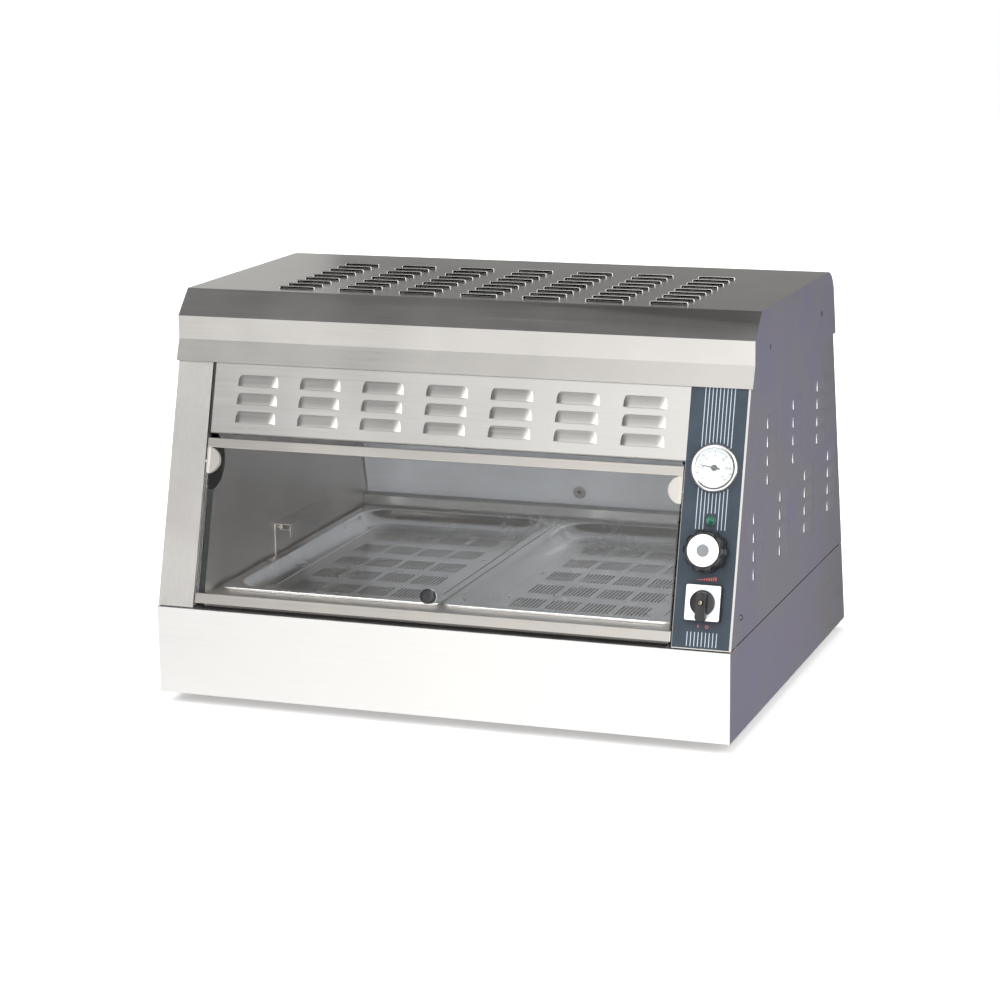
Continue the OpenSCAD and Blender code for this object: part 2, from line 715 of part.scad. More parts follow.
// A rail folded round one edge of the glass: s0 to s1, with the fold at edge
module glass_rail(s0, s1, fold) on_front() difference() {
    block([door_l, s0, door_back - 2], [door_r, s1, door_face + 2]);
    block([door_l + 1.5, s0 + (fold < 0 ? 2 : -overcut), door_back],
        [door_r - 1.5, s1 + (fold > 0 ? -2 : overcut), door_face]);
}
module door_top_rail() color("tan") glass_rail(rail_top_s - rail_h, rail_top_s, 1);
module door_bottom_rail() color("tan") glass_rail(bottom_rail_s, bottom_rail_s + 14, -1);
plate_wide = 19;
module d_plate(t) linear_extrude(t) intersection() {
    translate([0, -plate_h/2]) square([plate_wide, plate_h]);
    translate([0.5, 0]) circle(plate_h/2 + 0.6, $fn = 72);
}
module hinge_clamp() {
    translate([0, 0, door_face]) d_plate(1.6);
    translate([0, 0, door_back - 1.6]) d_plate(1.6);
    block([0, -plate_h/2, door_back - 1.6], [1.4, plate_h/2, door_face + 1.6]);
}
module door_hinge_plates() color(steel) on_front() translate([0, plate_s + plate_h/2, 0]) {
    translate([door_l, 0, 0]) hinge_clamp();
    translate([door_r, 0, 0]) mirror([1, 0, 0]) hinge_clamp();
}
module pin_pair(x0, x1) for (x = [x0, x1]) {
    translate([x, 0, 0]) rotate([0, 90, 0]) cylinder(r = pin_r, h = 9, center = true);
}
module door_pins() color(bright) on_front() translate([0, axis_s, axis_n]) {
    pin_pair(door_l - 4.5, door_r + 4.5);
}
pull_x = cavity_mid + 2;
pull_s = bottom_rail_s + 34;
// A round pull with its stud, face on z = 0
module pull(out, stud) {
    cylinder(r = pull_d/2 - 2.5, h = 2);
    translate([0, 0, 2]) cylinder(r = pull_d/2, h = out - 4);
    translate([0, 0, out - 2]) cylinder(r1 = pull_d/2, r2 = pull_d/2 - 2, h = 2);
    translate([0, 0, -stud]) cylinder(r = 3, h = stud);
}
module door_knob() color(black) on_front() translate([pull_x, pull_s, door_face]) pull(11, glass_t + 3);
module washer_disc() difference() {
    cylinder(r = pull_d/2, h = 3);
    translate([0, 0, -overcut]) cylinder(r = 3, h = 5);
}
module door_knob_washer() color(steel) on_front() translate([pull_x, pull_s, door_back - 3]) washer_disc();

// ---- Rear door ----
rear_door_s0 = sill_s + 4.5;
rear_door_s1 = header_s - 6;
rear_door_l = cavity_l + 1.5;
rear_door_r = cavity_r - 1.5;
rear_door_n = -1.5;
rear_pull_s = rear_door_s0 + 22;
rear_pull_x = 7;
module rear_door_panel() color(bright) on_rear() difference() {
    block([rear_door_l, rear_door_s0, rear_door_n - rear_door_t], [rear_door_r, rear_door_s1, rear_door_n]);
    block([rear_door_l + liner, rear_door_s0 + liner, rear_door_n - rear_door_t + liner],
        [rear_door_r - liner, rear_door_s1 - liner, rear_door_n - liner]);
    translate([rear_pull_x, rear_pull_s, rear_door_n]) cylinder(r = 3 + drill, h = 40, center = true);
}
module rear_door_pins() color(bright) on_rear() translate([0, rear_axis_s, rear_axis_n]) {
    pin_pair(rear_door_l - 4.5, rear_door_r + 4.5);
}
module rear_door_knob() color(black) on_rear() {
    translate([rear_pull_x, rear_pull_s, rear_door_n]) pull(11, rear_door_t + 3);
}
module rear_door_washer() color(steel) on_rear() {
    translate([rear_pull_x, rear_pull_s, rear_door_n - rear_door_t - 3]) washer_disc();
}

// ---- Food pans ----
rim_w = 15;
rim_t = 1.2;
well_r = 46;
pan_cols = 4;
pan_rows = 5;
pan_slots = 8;
perf_l = 48;
perf_w = 2.5;
perf_pitch = 5.4;
group_x = 50.5;
group_y = 77;
module pan(x) color(steel) translate([x, pan_y, 0]) {
    in_w = pan_w - 2*rim_w;
    in_l = pan_l - 2*rim_w;
    translate([0, 0, pan_z - rim_t]) linear_extrude(rim_t) difference() {
        rounded(pan_w, pan_l, 14);
        rounded(in_w, in_l, well_r);
    }
    translate([0, 0, deck_z + gap]) linear_extrude(pan_z - deck_z - gap) difference() {
        rounded(pan_w, pan_l, 14);
        rounded(pan_w - 2*rim_t, pan_l - 2*rim_t, 14 - rim_t);
    }
    translate([0, 0, pan_z - pan_depth]) linear_extrude(pan_depth) difference() {
        rounded(in_w + 2*rim_t, in_l + 2*rim_t, well_r + rim_t);
        rounded(in_w, in_l, well_r);
    }
    translate([0, 0, pan_z - pan_depth - rim_t]) linear_extrude(rim_t) difference() {
        rounded(in_w + 2*rim_t, in_l + 2*rim_t, well_r + rim_t);
        for (c = [0:pan_cols - 1], r = [0:pan_rows - 1], k = [0:pan_slots - 1]) {
            along = (c - (pan_cols - 1)/2)*group_x + (k - (pan_slots - 1)/2)*perf_pitch;
            translate([along, (r - (pan_rows - 1)/2)*group_y]) square([perf_w, perf_l], center = true);
        }
    }
}
module left_pan() pan(cavity_mid - (pan_w + pan_gap)/2);
module right_pan() pan(cavity_mid + (pan_w + pan_gap)/2);

// ---- Heat lamps above the ceiling ----
tube_z = ceiling_z + 16;
reflector_h = 34;
holder_l = 14;
reflector_t = 1;
flange_w = 12;
module trough(t) polygon([[-lamp_window - t, -overcut + t], [lamp_window + t, -overcut + t],
    [lamp_window + t, 1], [28 + t, reflector_h - 1 + t], [-28 - t, reflector_h - 1 + t],
    [-lamp_window - t, 1]]);
module lamp_reflectors() color("lightgray") for (y = lamp_y) translate([0, y, ceiling_z + liner]) {
    difference() {
        across(lamp_l + 1, lamp_r - 1) trough(reflector_t);
        across(lamp_l, lamp_r) trough(0);
    }
    for (k = [-1, 1]) {
        translate([(lamp_l + lamp_r)/2, k*(lamp_window + reflector_t/2 + flange_w/2), reflector_t/2])
            cube([lamp_r - lamp_l - 2, flange_w, reflector_t], center = true);
    }
}
module quartz_lamps() color([0.95, 0.9, 0.85, 0.5]) for (y = lamp_y) translate([lamp_l - 6, y, tube_z]) {
    rotate([0, 90, 0]) cylinder(r = 5, h = lamp_r - lamp_l + 12);
}
module lamp_holders() color(white) for (y = lamp_y) difference() {
    for (x = [lamp_l - holder_l, lamp_r]) {
        block([x, y - 10, ceiling_z + liner], [x + holder_l, y + 10, tube_z + 12]);
    }
    translate([lamp_l - 6, y, tube_z]) rotate([0, 90, 0]) cylinder(r = 5.1, h = lamp_r - lamp_l + 12);
}
guard_rods = 11;
rod_pitch = (lamp_r - lamp_l)/guard_rods;
module lamp_guard() color(steel) for (y = lamp_y) translate([lamp_l, y, ceiling_z - 2]) {
    for (k = [-1, 1]) {
        translate([-8, k*(lamp_window + 6), 0]) rotate([0, 90, 0])
            cylinder(r = 2, h = lamp_r - lamp_l + 16);
    }
    for (i = [0:guard_rods - 1]) {
        translate([(i + 0.5)*rod_pitch, 0, 0]) rotate([90, 0, 0])
            cylinder(r = 1.5, h = 2*lamp_window + 20, center = true);
    }
}

// ---- Supply and wiring ----
block_x = half_w - 52;
block_y = 190;
module terminal_block() color(white) translate([block_x, block_y, foot_h + skin]) difference() {
    block([-15, -35, 0], [15, 35, 20]);
    for (i = [-2:2]) translate([0, i*13, 12]) cylinder(r = 3, h = 10);
}
gland_bore = 5;
module cable_gland() color(black) at_gland() difference() {
    union() {
        translate([0, 0, -24]) cylinder(r = gland_r, h = 26);
        translate([0, 0, -skin - 5]) cylinder(r = 12.5, h = 5, $fn = 6);
        cylinder(r = 12.5, h = 10, $fn = 6);
        translate([0, 0, 10]) cylinder(r1 = 10.5, r2 = 8.5, h = 7.2);
    }
    translate([0, 0, -30]) cylinder(r = gland_bore, h = 60);
}
loom_z = case_h - 34;
loom_x = ctl_x + 14;
wire_r = 1.5;
// Wires from the base up behind the controls to both ends of each lamp
module lamp_wiring() color("firebrick") for (i = [0, 1]) {
    y = lamp_y[i];
    right = lamp_r + holder_l;
    left = lamp_l - holder_l;
    run([[loom_x, 100 + 6*i, base_z - 60], [loom_x, 100 + 6*i, loom_z], [right + 10, y, loom_z],
        [right + 10, y, tube_z], [right, y, tube_z]], wire_r);
    run([[right + 10, y, loom_z], [left - 10, y + 20, loom_z], [left - 10, y, tube_z],
        [left, y, tube_z]], wire_r);
}

rubber_feet();
base_shell();
base_floor();
well_tray();
pan_deck();
left_side_panel();
right_side_panel();
left_liner();
right_liner();
ceiling_panel();
rear_sill();
rear_header();
hood();
louvre_panel();
control_panel();
fascia_overlay();
door_glass();
door_top_rail();
door_bottom_rail();
door_hinge_plates();
door_pins();
door_knob();
door_knob_washer();
rear_door_panel();
rear_door_pins();
rear_door_knob();
rear_door_washer();
left_pan();
right_pan();
probe_guard();
heating_element();
element_clips();
lamp_reflectors();
quartz_lamps();
lamp_holders();
lamp_guard();
thermometer_case();
thermometer_bezel();
thermometer_dial();
thermometer_needle();
thermometer_lens();
thermometer_probe();
pilot_lamp();
pilot_lens();
thermostat_body();
thermostat_knob();
thermostat_disc();
thermostat_probe();
switch_body();
switch_plate();
switch_handle();
switch_screw();
terminal_block();
cable_gland();
lamp_wiring();
hood_screws();
side_screws();
foot_screws();
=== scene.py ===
"""Looks of the countertop heated display case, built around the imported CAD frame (metres, same frame)."""
import json
import math
import bmesh
import bpy
from mathutils import Matrix, Vector
from mathutils.geometry import delaunay_2d_cdt


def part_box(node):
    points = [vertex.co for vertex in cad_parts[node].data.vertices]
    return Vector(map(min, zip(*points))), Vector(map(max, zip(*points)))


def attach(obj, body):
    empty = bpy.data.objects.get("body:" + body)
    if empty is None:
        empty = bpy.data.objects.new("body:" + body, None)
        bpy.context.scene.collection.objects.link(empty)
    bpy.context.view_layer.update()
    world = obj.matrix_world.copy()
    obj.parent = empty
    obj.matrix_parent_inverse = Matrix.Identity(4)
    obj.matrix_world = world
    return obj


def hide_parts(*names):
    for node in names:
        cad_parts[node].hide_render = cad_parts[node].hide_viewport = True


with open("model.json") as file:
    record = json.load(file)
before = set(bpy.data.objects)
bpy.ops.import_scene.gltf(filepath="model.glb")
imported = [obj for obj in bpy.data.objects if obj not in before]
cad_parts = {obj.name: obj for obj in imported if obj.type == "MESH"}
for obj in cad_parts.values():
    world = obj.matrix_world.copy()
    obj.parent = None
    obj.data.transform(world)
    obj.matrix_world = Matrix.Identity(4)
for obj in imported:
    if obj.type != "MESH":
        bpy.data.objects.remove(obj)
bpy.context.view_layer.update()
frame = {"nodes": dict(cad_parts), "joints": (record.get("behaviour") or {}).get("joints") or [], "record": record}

MM = 0.001

# ---------------------------------------------------------------- planes and frames, read from the CAD
base_lo, base_hi = (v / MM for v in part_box("base_shell"))
hood_lo, hood_hi = (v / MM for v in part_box("hood"))
joints = {j["name"]: j for j in frame["joints"]}
mounts = {m["name"]: m for m in frame["record"]["mounts"]}
HALF_W, BASE_Z, SLOPE_Y = base_hi.x, base_hi.z, base_lo.y + 3
HOOD_Z, CASE_W = hood_lo.z, 2 * hood_hi.x
CASE_H = max(v.co.z for v in frame["nodes"]["hood"].data.vertices if v.co.x > (hood_hi.x - 1) * MM) / MM
inward = joints["thermostat_turn"]["axis"]
TILT = math.atan2(-inward[2], inward[1])
gland_axis = mounts["cord_inlet"]["axis"]
REAR_TILT = math.atan2(gland_axis[2], gland_axis[1])
FT, RT = math.tan(TILT), math.tan(REAR_TILT)
REAR_Y = base_hi.y - (BASE_Z - base_lo.z) * RT


def front_at(z):
    return SLOPE_Y + (z - BASE_Z) * FT


def rear_at(z):
    return REAR_Y - (z - BASE_Z) * RT


def on_front(x, s, n=0.0):
    """A point x across, s up the front slope and n outward from it, in mm."""
    return (x, SLOPE_Y + s * math.sin(TILT) - n * math.cos(TILT), BASE_Z + s * math.cos(TILT) + n * math.sin(TILT))


def front_s_of(v):
    """How far up the front slope a point lies, and how far out of it, in mm."""
    y, z = v.y - SLOPE_Y, v.z - BASE_Z
    return y * math.sin(TILT) + z * math.cos(TILT), z * math.sin(TILT) - y * math.cos(TILT)


def slope_place(x0, s0, n0=0.0):
    return lambda x, y, z: on_front(x0 + x, s0 + y, n0 + z)


# ---------------------------------------------------------------- materials
def material(name, color, metallic, rough, **sockets):
    m = bpy.data.materials.new(name)
    m.use_nodes = True
    tree = m.node_tree
    bsdf = tree.nodes["Principled BSDF"]
    bsdf.inputs["Base Color"].default_value = (*color[:3], 1)
    bsdf.inputs["Metallic"].default_value = metallic
    bsdf.inputs["Roughness"].default_value = rough
    for key, value in sockets.items():
        bsdf.inputs[key.replace("_", " ")].default_value = value
    return m, tree, bsdf


def noise(tree, scale, mapping=(1, 1, 1), detail=3.0, rough=0.55, rotate=(0, 0, 0)):
    coord = tree.nodes.new("ShaderNodeTexCoord")
    place = tree.nodes.new("ShaderNodeMapping")
    place.inputs["Scale"].default_value = mapping
    place.inputs["Rotation"].default_value = rotate
    tex = tree.nodes.new("ShaderNodeTexNoise")
    tex.inputs["Scale"].default_value = scale
    tex.inputs["Detail"].default_value = detail
    tex.inputs["Roughness"].default_value = rough
    tree.links.new(coord.outputs["Object"], place.inputs["Vector"])
    tree.links.new(place.outputs["Vector"], tex.inputs["Vector"])
    return tex.outputs["Fac"]


def ramp(tree, fac, stops):
    node = tree.nodes.new("ShaderNodeValToRGB")
    while len(node.color_ramp.elements) < len(stops):
        node.color_ramp.elements.new(0.5)
    for element, (at, color) in zip(node.color_ramp.elements, stops):
        element.position = at
        element.color = (*color, 1) if len(color) == 3 else color
    tree.links.new(fac, node.inputs["Fac"])
    return node.outputs["Color"]


def spread(tree, fac, low, high, a=0.3, b=0.7):
    node = tree.nodes.new("ShaderNodeMapRange")
    node.inputs["From Min"].default_value = a
    node.inputs["From Max"].default_value = b
    node.inputs["To Min"].default_value = low
    node.inputs["To Max"].default_value = high
    tree.links.new(fac, node.inputs["Value"])
    return node.outputs["Result"]


def bump(tree, bsdf, *layers):
    """Stacks bump layers (height, strength, distance in metres) onto the shader."""
    last = None
    for height, strength, distance in layers:
        node = tree.nodes.new("ShaderNodeBump")
        node.inputs["Strength"].default_value = strength
        node.inputs["Distance"].default_value = distance
        tree.links.new(height, node.inputs["Height"])
        if last is not None:
            tree.links.new(last, node.inputs["Normal"])
        last = node.outputs["Normal"]
    tree.links.new(last, bsdf.inputs["Normal"])


GRAIN = {"x": (1, 90, 90), "y": (90, 1, 90), "z": (90, 90, 1), "none": (8, 8, 8)}


def steel(name, color, rough=0.3, grain="x", vary=0.06, streak=0.10, tint=None, waves=0.25, fine_bump=0.12, metallic=1.0):
    """Brushed stainless sheet: fine grain one way, soft smudges, a slight unevenness of the sheet."""
    m, tree, bsdf = material(name, color, metallic, rough)
    fine = noise(tree, 4.0, GRAIN[grain], 4.0, 0.7)
    smudge = noise(tree, 7.0, (1, 1, 1), 3.0, 0.5)
    sheet = noise(tree, 2.2, (1, 1, 1), 1.0, 0.4)
    other = tint or [min(1.0, c * (1 + vary)) for c in color]
    blend = tree.nodes.new("ShaderNodeMix")
    blend.data_type = "RGBA"
    tree.links.new(spread(tree, smudge, 0.0, 1.0, 0.35, 0.65), blend.inputs[0])
    blend.inputs[6].default_value = (*[c * (1 - vary) for c in color], 1)
    blend.inputs[7].default_value = (*other[:3], 1)
    shade = tree.nodes.new("ShaderNodeMix")
    shade.data_type = "RGBA"
    shade.blend_type = "MULTIPLY"
    shade.inputs[0].default_value = 1.0
    tree.links.new(blend.outputs[2], shade.inputs[6])
    tree.links.new(ramp(tree, fine, [(0.25, (1 - streak,) * 3), (0.75, (1.0, 1.0, 1.0))]), shade.inputs[7])
    tree.links.new(shade.outputs[2], bsdf.inputs["Base Color"])
    add = tree.nodes.new("ShaderNodeMath")
    add.operation = "ADD"
    tree.links.new(spread(tree, fine, rough - 0.05, rough + 0.06), add.inputs[0])
    tree.links.new(spread(tree, smudge, -0.04, 0.05), add.inputs[1])
    tree.links.new(add.outputs[0], bsdf.inputs["Roughness"])
    bump(tree, bsdf, (sheet, waves, 0.004), (fine, fine_bump, 0.0004))
    return m


def plastic(name, color, rough=0.35, grain_scale=900, grain=0.08, vary=0.05, **sockets):
    m, tree, bsdf = material(name, color, 0.0, rough, **sockets)
    fine = noise(tree, grain_scale, (1, 1, 1), 2.0, 0.6)
    cloud = noise(tree, 40, (1, 1, 1), 3.0, 0.5)
    tree.links.new(ramp(tree, cloud, [(0.3, [c * (1 - vary) for c in color]), (0.7, [min(1, c * (1 + vary) + 0.002) for c in color])]),
                   bsdf.inputs["Base Color"])
    tree.links.new(spread(tree, cloud, rough - 0.05, rough + 0.07), bsdf.inputs["Roughness"])
    bump(tree, bsdf, (fine, grain, 0.0002))
    return m


def glass(name, color, rough, alpha_layers=None, **sockets):
    m, tree, bsdf = material(name, color, 0.0, rough, Transmission_Weight=1.0, IOR=1.45, **sockets)
    film = noise(tree, 9.0, (1, 1, 2.5), 5.0, 0.65, (0, 0.6, 0.3))
    tree.links.new(spread(tree, film, rough, rough + 0.035, 0.5, 0.8), bsdf.inputs["Roughness"])
    path, through, mix = (tree.nodes.new(kind) for kind in ("ShaderNodeLightPath", "ShaderNodeBsdfTransparent", "ShaderNodeMixShader"))
    through.inputs["Color"].default_value = (0.9, 0.9, 0.9, 1)
    tree.links.new(path.outputs["Is Shadow Ray"], mix.inputs["Fac"])
    tree.links.new(bsdf.outputs["BSDF"], mix.inputs[1])
    tree.links.new(through.outputs["BSDF"], mix.inputs[2])
    tree.links.new(mix.outputs["Shader"], tree.nodes["Material Output"].inputs["Surface"])
    return m


M = {
    "base": steel("base_steel", (0.96, 0.95, 0.93), 0.36, "x", 0.02, 0.04),
    "panel": steel("panel_steel", (0.80, 0.79, 0.76), 0.33, "x", 0.04, 0.08),
    "pillar": steel("pillar_steel", (0.84, 0.82, 0.79), 0.46, "z", 0.04, 0.09),
    "hood": steel("hood_steel", (0.74, 0.72, 0.69), 0.34, "x", 0.05, 0.05),
    # painted shade: a darker, violet-tinted copy of the steel for the right-facing faces
    "side": steel("painted_shade_side_steel", (0.55, 0.53, 0.59), 0.36, "y", 0.10, 0.08, (0.48, 0.45, 0.62), 0.5),
    "inner": steel("inner_steel", (0.66, 0.62, 0.59), 0.38, "y", 0.06, 0.10),
    # painted shade: a dark grey steel for the shaded rear sill
    "sill": steel("painted_shade_sill_steel", (0.25, 0.25, 0.25), 0.34, "x", 0.08, 0.10),
    # painted light: a pale, nearly non-metallic copy of the steel, so the rear wall reads brighter
    "painted_light_inner": steel("painted_light_inner_steel", (0.84, 0.87, 0.93), 0.36, "x", 0.05, 0.06, metallic=0.15),
    "rail": steel("rail_steel", (0.70, 0.67, 0.63), 0.36, "x", 0.04, 0.08),
    "plate": steel("plate_steel", (0.84, 0.81, 0.76), 0.40, "z", 0.04, 0.08),
    "pan": steel("pan_steel", (0.74, 0.73, 0.73), 0.22, "none", 0.04, 0.02, waves=0.02, fine_bump=0.0),
    "bright": steel("bright_metal", (0.86, 0.86, 0.86), 0.18, "z", 0.03, 0.05, waves=0.0),
    "chrome": steel("chrome", (0.88, 0.87, 0.86), 0.10, "x", 0.03, 0.03, waves=0.0),
    "reflector": steel("reflector", (0.85, 0.85, 0.86), 0.15, "x", 0.03, 0.05),
    "dark_metal": steel("dark_metal", (0.22, 0.22, 0.23), 0.42, "z", 0.08, 0.06, waves=0.0),
    "unlit": steel("unlit_steel", (0.045, 0.045, 0.047), 0.60, "x", 0.05, 0.05, waves=0.0),
    "element": steel("element", (0.30, 0.27, 0.25), 0.50, "x", 0.20, 0.10, waves=0.0),
    "copper": steel("copper", (0.78, 0.48, 0.30), 0.28, "y", 0.08, 0.05, waves=0.0),
    "brass": steel("brass_screw", (0.62, 0.52, 0.34), 0.30, "x", 0.08, 0.05, waves=0.0),
    "fascia": plastic("fascia", (0.026, 0.037, 0.050), 0.42, 700, 0.12, 0.10, Specular_IOR_Level=0.35),
    "stripe": plastic("fascia_stripe", (0.34, 0.38, 0.43), 0.40, 700, 0.05, 0.04),
    "red_mark": plastic("fascia_mark", (0.50, 0.10, 0.08), 0.40, 700, 0.05, 0.04),
    "black": plastic("black_plastic", (0.012, 0.012, 0.014), 0.30, 1200, 0.08, 0.2, Coat_Weight=0.2, Coat_Roughness=0.25),
    "black_satin": plastic("black_satin", (0.020, 0.020, 0.022), 0.45, 1500, 0.25, 0.2),
    "rubber": plastic("rubber", (0.018, 0.018, 0.018), 0.75, 1200, 0.4, 0.25),
    "white": plastic("white_plastic", (0.74, 0.74, 0.73), 0.30, 900, 0.04, 0.015, Coat_Weight=0.2),
    "grey_dot": plastic("grey_plastic", (0.16, 0.17, 0.18), 0.45, 900, 0.05, 0.08),
    "enamel": plastic("white_enamel", (0.52, 0.56, 0.57), 0.35, 600, 0.03, 0.01),
    "ink": plastic("dial_ink", (0.015, 0.015, 0.018), 0.6, 900, 0.02, 0.1),
    "ceramic": plastic("ceramic", (0.82, 0.79, 0.73), 0.25, 500, 0.10, 0.03, Coat_Weight=0.4),
    "red_wire": plastic("red_wire", (0.55, 0.035, 0.025), 0.50, 900, 0.15, 0.1),
    "glass": glass("door_glass", (0.965, 0.98, 0.975), 0.0),
    "lens": glass("dial_lens", (1.0, 1.0, 1.0), 0.0),
    "quartz": glass("quartz", (0.95, 0.94, 0.92), 0.10),
    "green": plastic("green_lens", (0.005, 0.14, 0.085), 0.08, 300, 0.05, 0.15, Transmission_Weight=0.35, Coat_Weight=1.0, Coat_Roughness=0.03),
}


# ---------------------------------------------------------------- mesh helpers
def piece(name, verts, faces, mats, body, slot, replaces=(), bevel=0.0, segments=2, angle=35, smooth=35, paint=None, weld=0.01):
    """A mesh piece from vertices in mm. bevel rounds its edges, paint picks a material for each face."""
    me = bpy.data.meshes.new(name)
    me.from_pydata([Vector(v) * MM for v in verts], [], faces)
    bm = bmesh.new()
    bm.from_mesh(me)
    if weld:
        bmesh.ops.remove_doubles(bm, verts=bm.verts, dist=weld * MM)
    bmesh.ops.recalc_face_normals(bm, faces=bm.faces)
    bm.to_mesh(me)
    bm.free()
    return dress(me, name, mats, body, slot, replaces, bevel, segments, angle, smooth, paint)


def dress(me, name, mats, body, slot, replaces, bevel, segments, angle, smooth, paint):
    mats = mats if isinstance(mats, (list, tuple)) else [mats]
    for m in mats:
        me.materials.append(M[m])
    if paint:
        for p in me.polygons:
            p.material_index = paint(p.normal, p.center / MM)
    me.shade_smooth()
    me.set_sharp_from_angle(angle=math.radians(smooth))
    obj = bpy.data.objects.new(name, me)
    bpy.context.scene.collection.objects.link(obj)
    if bevel:
        mod = obj.modifiers.new("edges", "BEVEL")
        mod.width = bevel * MM
        mod.segments = segments
        mod.limit_method = "ANGLE"
        mod.angle_limit = math.radians(angle)
        mod.use_clamp_overlap = True
        mod.miter_outer = "MITER_ARC"
        even = obj.modifiers.new("normals", "WEIGHTED_NORMAL")
        even.keep_sharp = True
    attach(obj, body)
    if replaces:
        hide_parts(*replaces)
    return obj


SLOT_OF = {s["node"]: s["material_slot"] for s in frame["record"]["subparts"]}
BODY_OF = {n: b for b, members in frame["record"]["behaviour"]["bodies"].items() for n in members}


def refine(node, mats, bevel=0.5, segments=2, angle=32, smooth=35, paint=None):
    """The CAD node's own shape as clean faces with softened edges."""
    bm = bmesh.new()
    bm.from_mesh(frame["nodes"][node].data)
    bmesh.ops.remove_doubles(bm, verts=bm.verts, dist=2e-6)
    bmesh.ops.dissolve_limit(bm, angle_limit=math.radians(0.8), verts=bm.verts, edges=bm.edges)
    me = bpy.data.meshes.new(node + "_look")
    bm.to_mesh(me)
    bm.free()
    return dress(me, node + "_look", mats, BODY_OF[node], SLOT_OF[node], [node], bevel, segments, angle, smooth, paint)


def arc(cx, cy, r, a0, a1, steps):
    return [(cx + r * math.cos(math.radians(a0 + (a1 - a0) * i / steps)), cy + r * math.sin(math.radians(a0 + (a1 - a0) * i / steps)))
            for i in range(steps + 1)]


def rounded_rect(w, h, r, steps=8, cx=0.0, cy=0.0):
    pts = []
    for sx, sy, a in ((1, 1, 0), (-1, 1, 90), (-1, -1, 180), (1, -1, 270)):
        pts += arc(cx + sx * (w / 2 - r), cy + sy * (h / 2 - r), r, a, a + 90, steps)
    return pts


def stadium(length, width, steps=8, cx=0.0, cy=0.0):
    return arc(cx + (length - width) / 2, cy, width / 2, -90, 90, steps) + arc(cx - (length - width) / 2, cy, width / 2, 90, 270, steps)


def inside(loop, x, y):
    hit = False
    for i in range(len(loop)):
        (x0, y0), (x1, y1) = loop[i - 1], loop[i]
        if (y0 > y) != (y1 > y) and x < (x1 - x0) * (y - y0) / (y1 - y0) + x0:
            hit = not hit
    return hit


def cut_sheet(outline, holes):
    """Triangles of a flat outline with holes in it: points, faces."""
    pts, edges = [], []
    for loop in [outline] + holes:
        k = len(pts)
        pts += [Vector(p) for p in loop]
        edges += [(k + i, k + (i + 1) % len(loop)) for i in range(len(loop))]
    got, _, faces, _, _, _ = delaunay_2d_cdt(pts, edges, [], 0, 1e-4, False)
    boxes = [(min(p[0] for p in h), min(p[1] for p in h), max(p[0] for p in h), max(p[1] for p in h)) for h in holes]
    keep = []
    for f in faces:
        x = sum(got[i].x for i in f) / 3
        y = sum(got[i].y for i in f) / 3
        if inside(outline, x, y) and not any(b[0] < x < b[2] and b[1] < y < b[3] and inside(h, x, y) for b, h in zip(boxes, holes)):
            keep.append(tuple(f))
    return [tuple(p) for p in got], keep


def slab(outline, holes, z0, z1, place):
    """A flat sheet with thickness, z0 to z1, put in place by place(x, y, z)."""
    pts, faces = cut_sheet(outline, holes)
    verts = [place(x, y, z1) for x, y in pts] + [place(x, y, z0) for x, y in pts]
    n = len(pts)
    out = [f for f in faces] + [tuple(n + i for i in reversed(f)) for f in faces]
    for loop in [outline] + holes:
        k = len(verts)
        verts += [place(x, y, z1) for x, y in loop] + [place(x, y, z0) for x, y in loop]
        m = len(loop)
        out += [(k + i, k + (i + 1) % m, k + m + (i + 1) % m, k + m + i) for i in range(m)]
    return verts, out


def loft(rings, closed=True, cap0=False, cap1=False):
    """Quads between rings with the same number of points."""
    n = len(rings[0])
    verts = [p for ring in rings for p in ring]
    faces = []
    for r in range(len(rings) - 1):
        for i in range(n if closed else n - 1):
            j = (i + 1) % n
            faces.append((r * n + i, r * n + j, (r + 1) * n + j, (r + 1) * n + i))
    if cap0:
        faces.append(tuple(reversed(range(n))))
    if cap1:
        faces.append(tuple((len(rings) - 1) * n + i for i in range(n)))
    return verts, faces


def lathe(profile, place, steps=64, cap0=True, cap1=True):
    """A turned piece: profile of (radius, z)."""
    rings = [[place(r * math.cos(2 * math.pi * i / steps), r * math.sin(2 * math.pi * i / steps), z) for i in range(steps)] for r, z in profile]
    return loft(rings, True, cap0, cap1)


def merge(*parts):
    verts, faces = [], []
    for v, f in parts:
        k = len(verts)
        verts += list(v)
        faces += [tuple(k + i for i in face) for face in f]
    return verts, faces


def pressed_louvre(length, height, out, r_end, place, nu=36, nv=14, sheet=1.0):
    """A hooded louvre pressed out of the sheet: open along y = 0, running out into the sheet at the top."""
    outer, inner = [], []
    for j in range(nv + 1):
        v = j / nv
        half = length / 2 - r_end * 0.55 * (1 - math.sqrt(max(0.0, 1 - v ** 2.6)))
        row, low = [], []
        for i in range(nu + 1):
            u = math.sin(math.pi / 2 * (2 * i / nu - 1))
            x = u * half
            over = max(0.0, (abs(x) - (half - r_end)) / r_end)
            end = math.sqrt(max(0.0, 1 - over ** 2)) if over < 1 else 0.0
            z = out * end * (1 - v ** 1.3)
            row.append(place(x, v * height, z + 0.02))
            low.append(place(x * (1 - sheet / half), v * (height - sheet), max(z - sheet, -sheet)))
        outer.append(row)
        inner.append(low)
    a = loft(outer, closed=False)
    b = loft(inner, closed=False)
    lip = loft([outer[0], inner[0]], closed=False)
    return merge(a, (b[0], [tuple(reversed(f)) for f in b[1]]), lip)


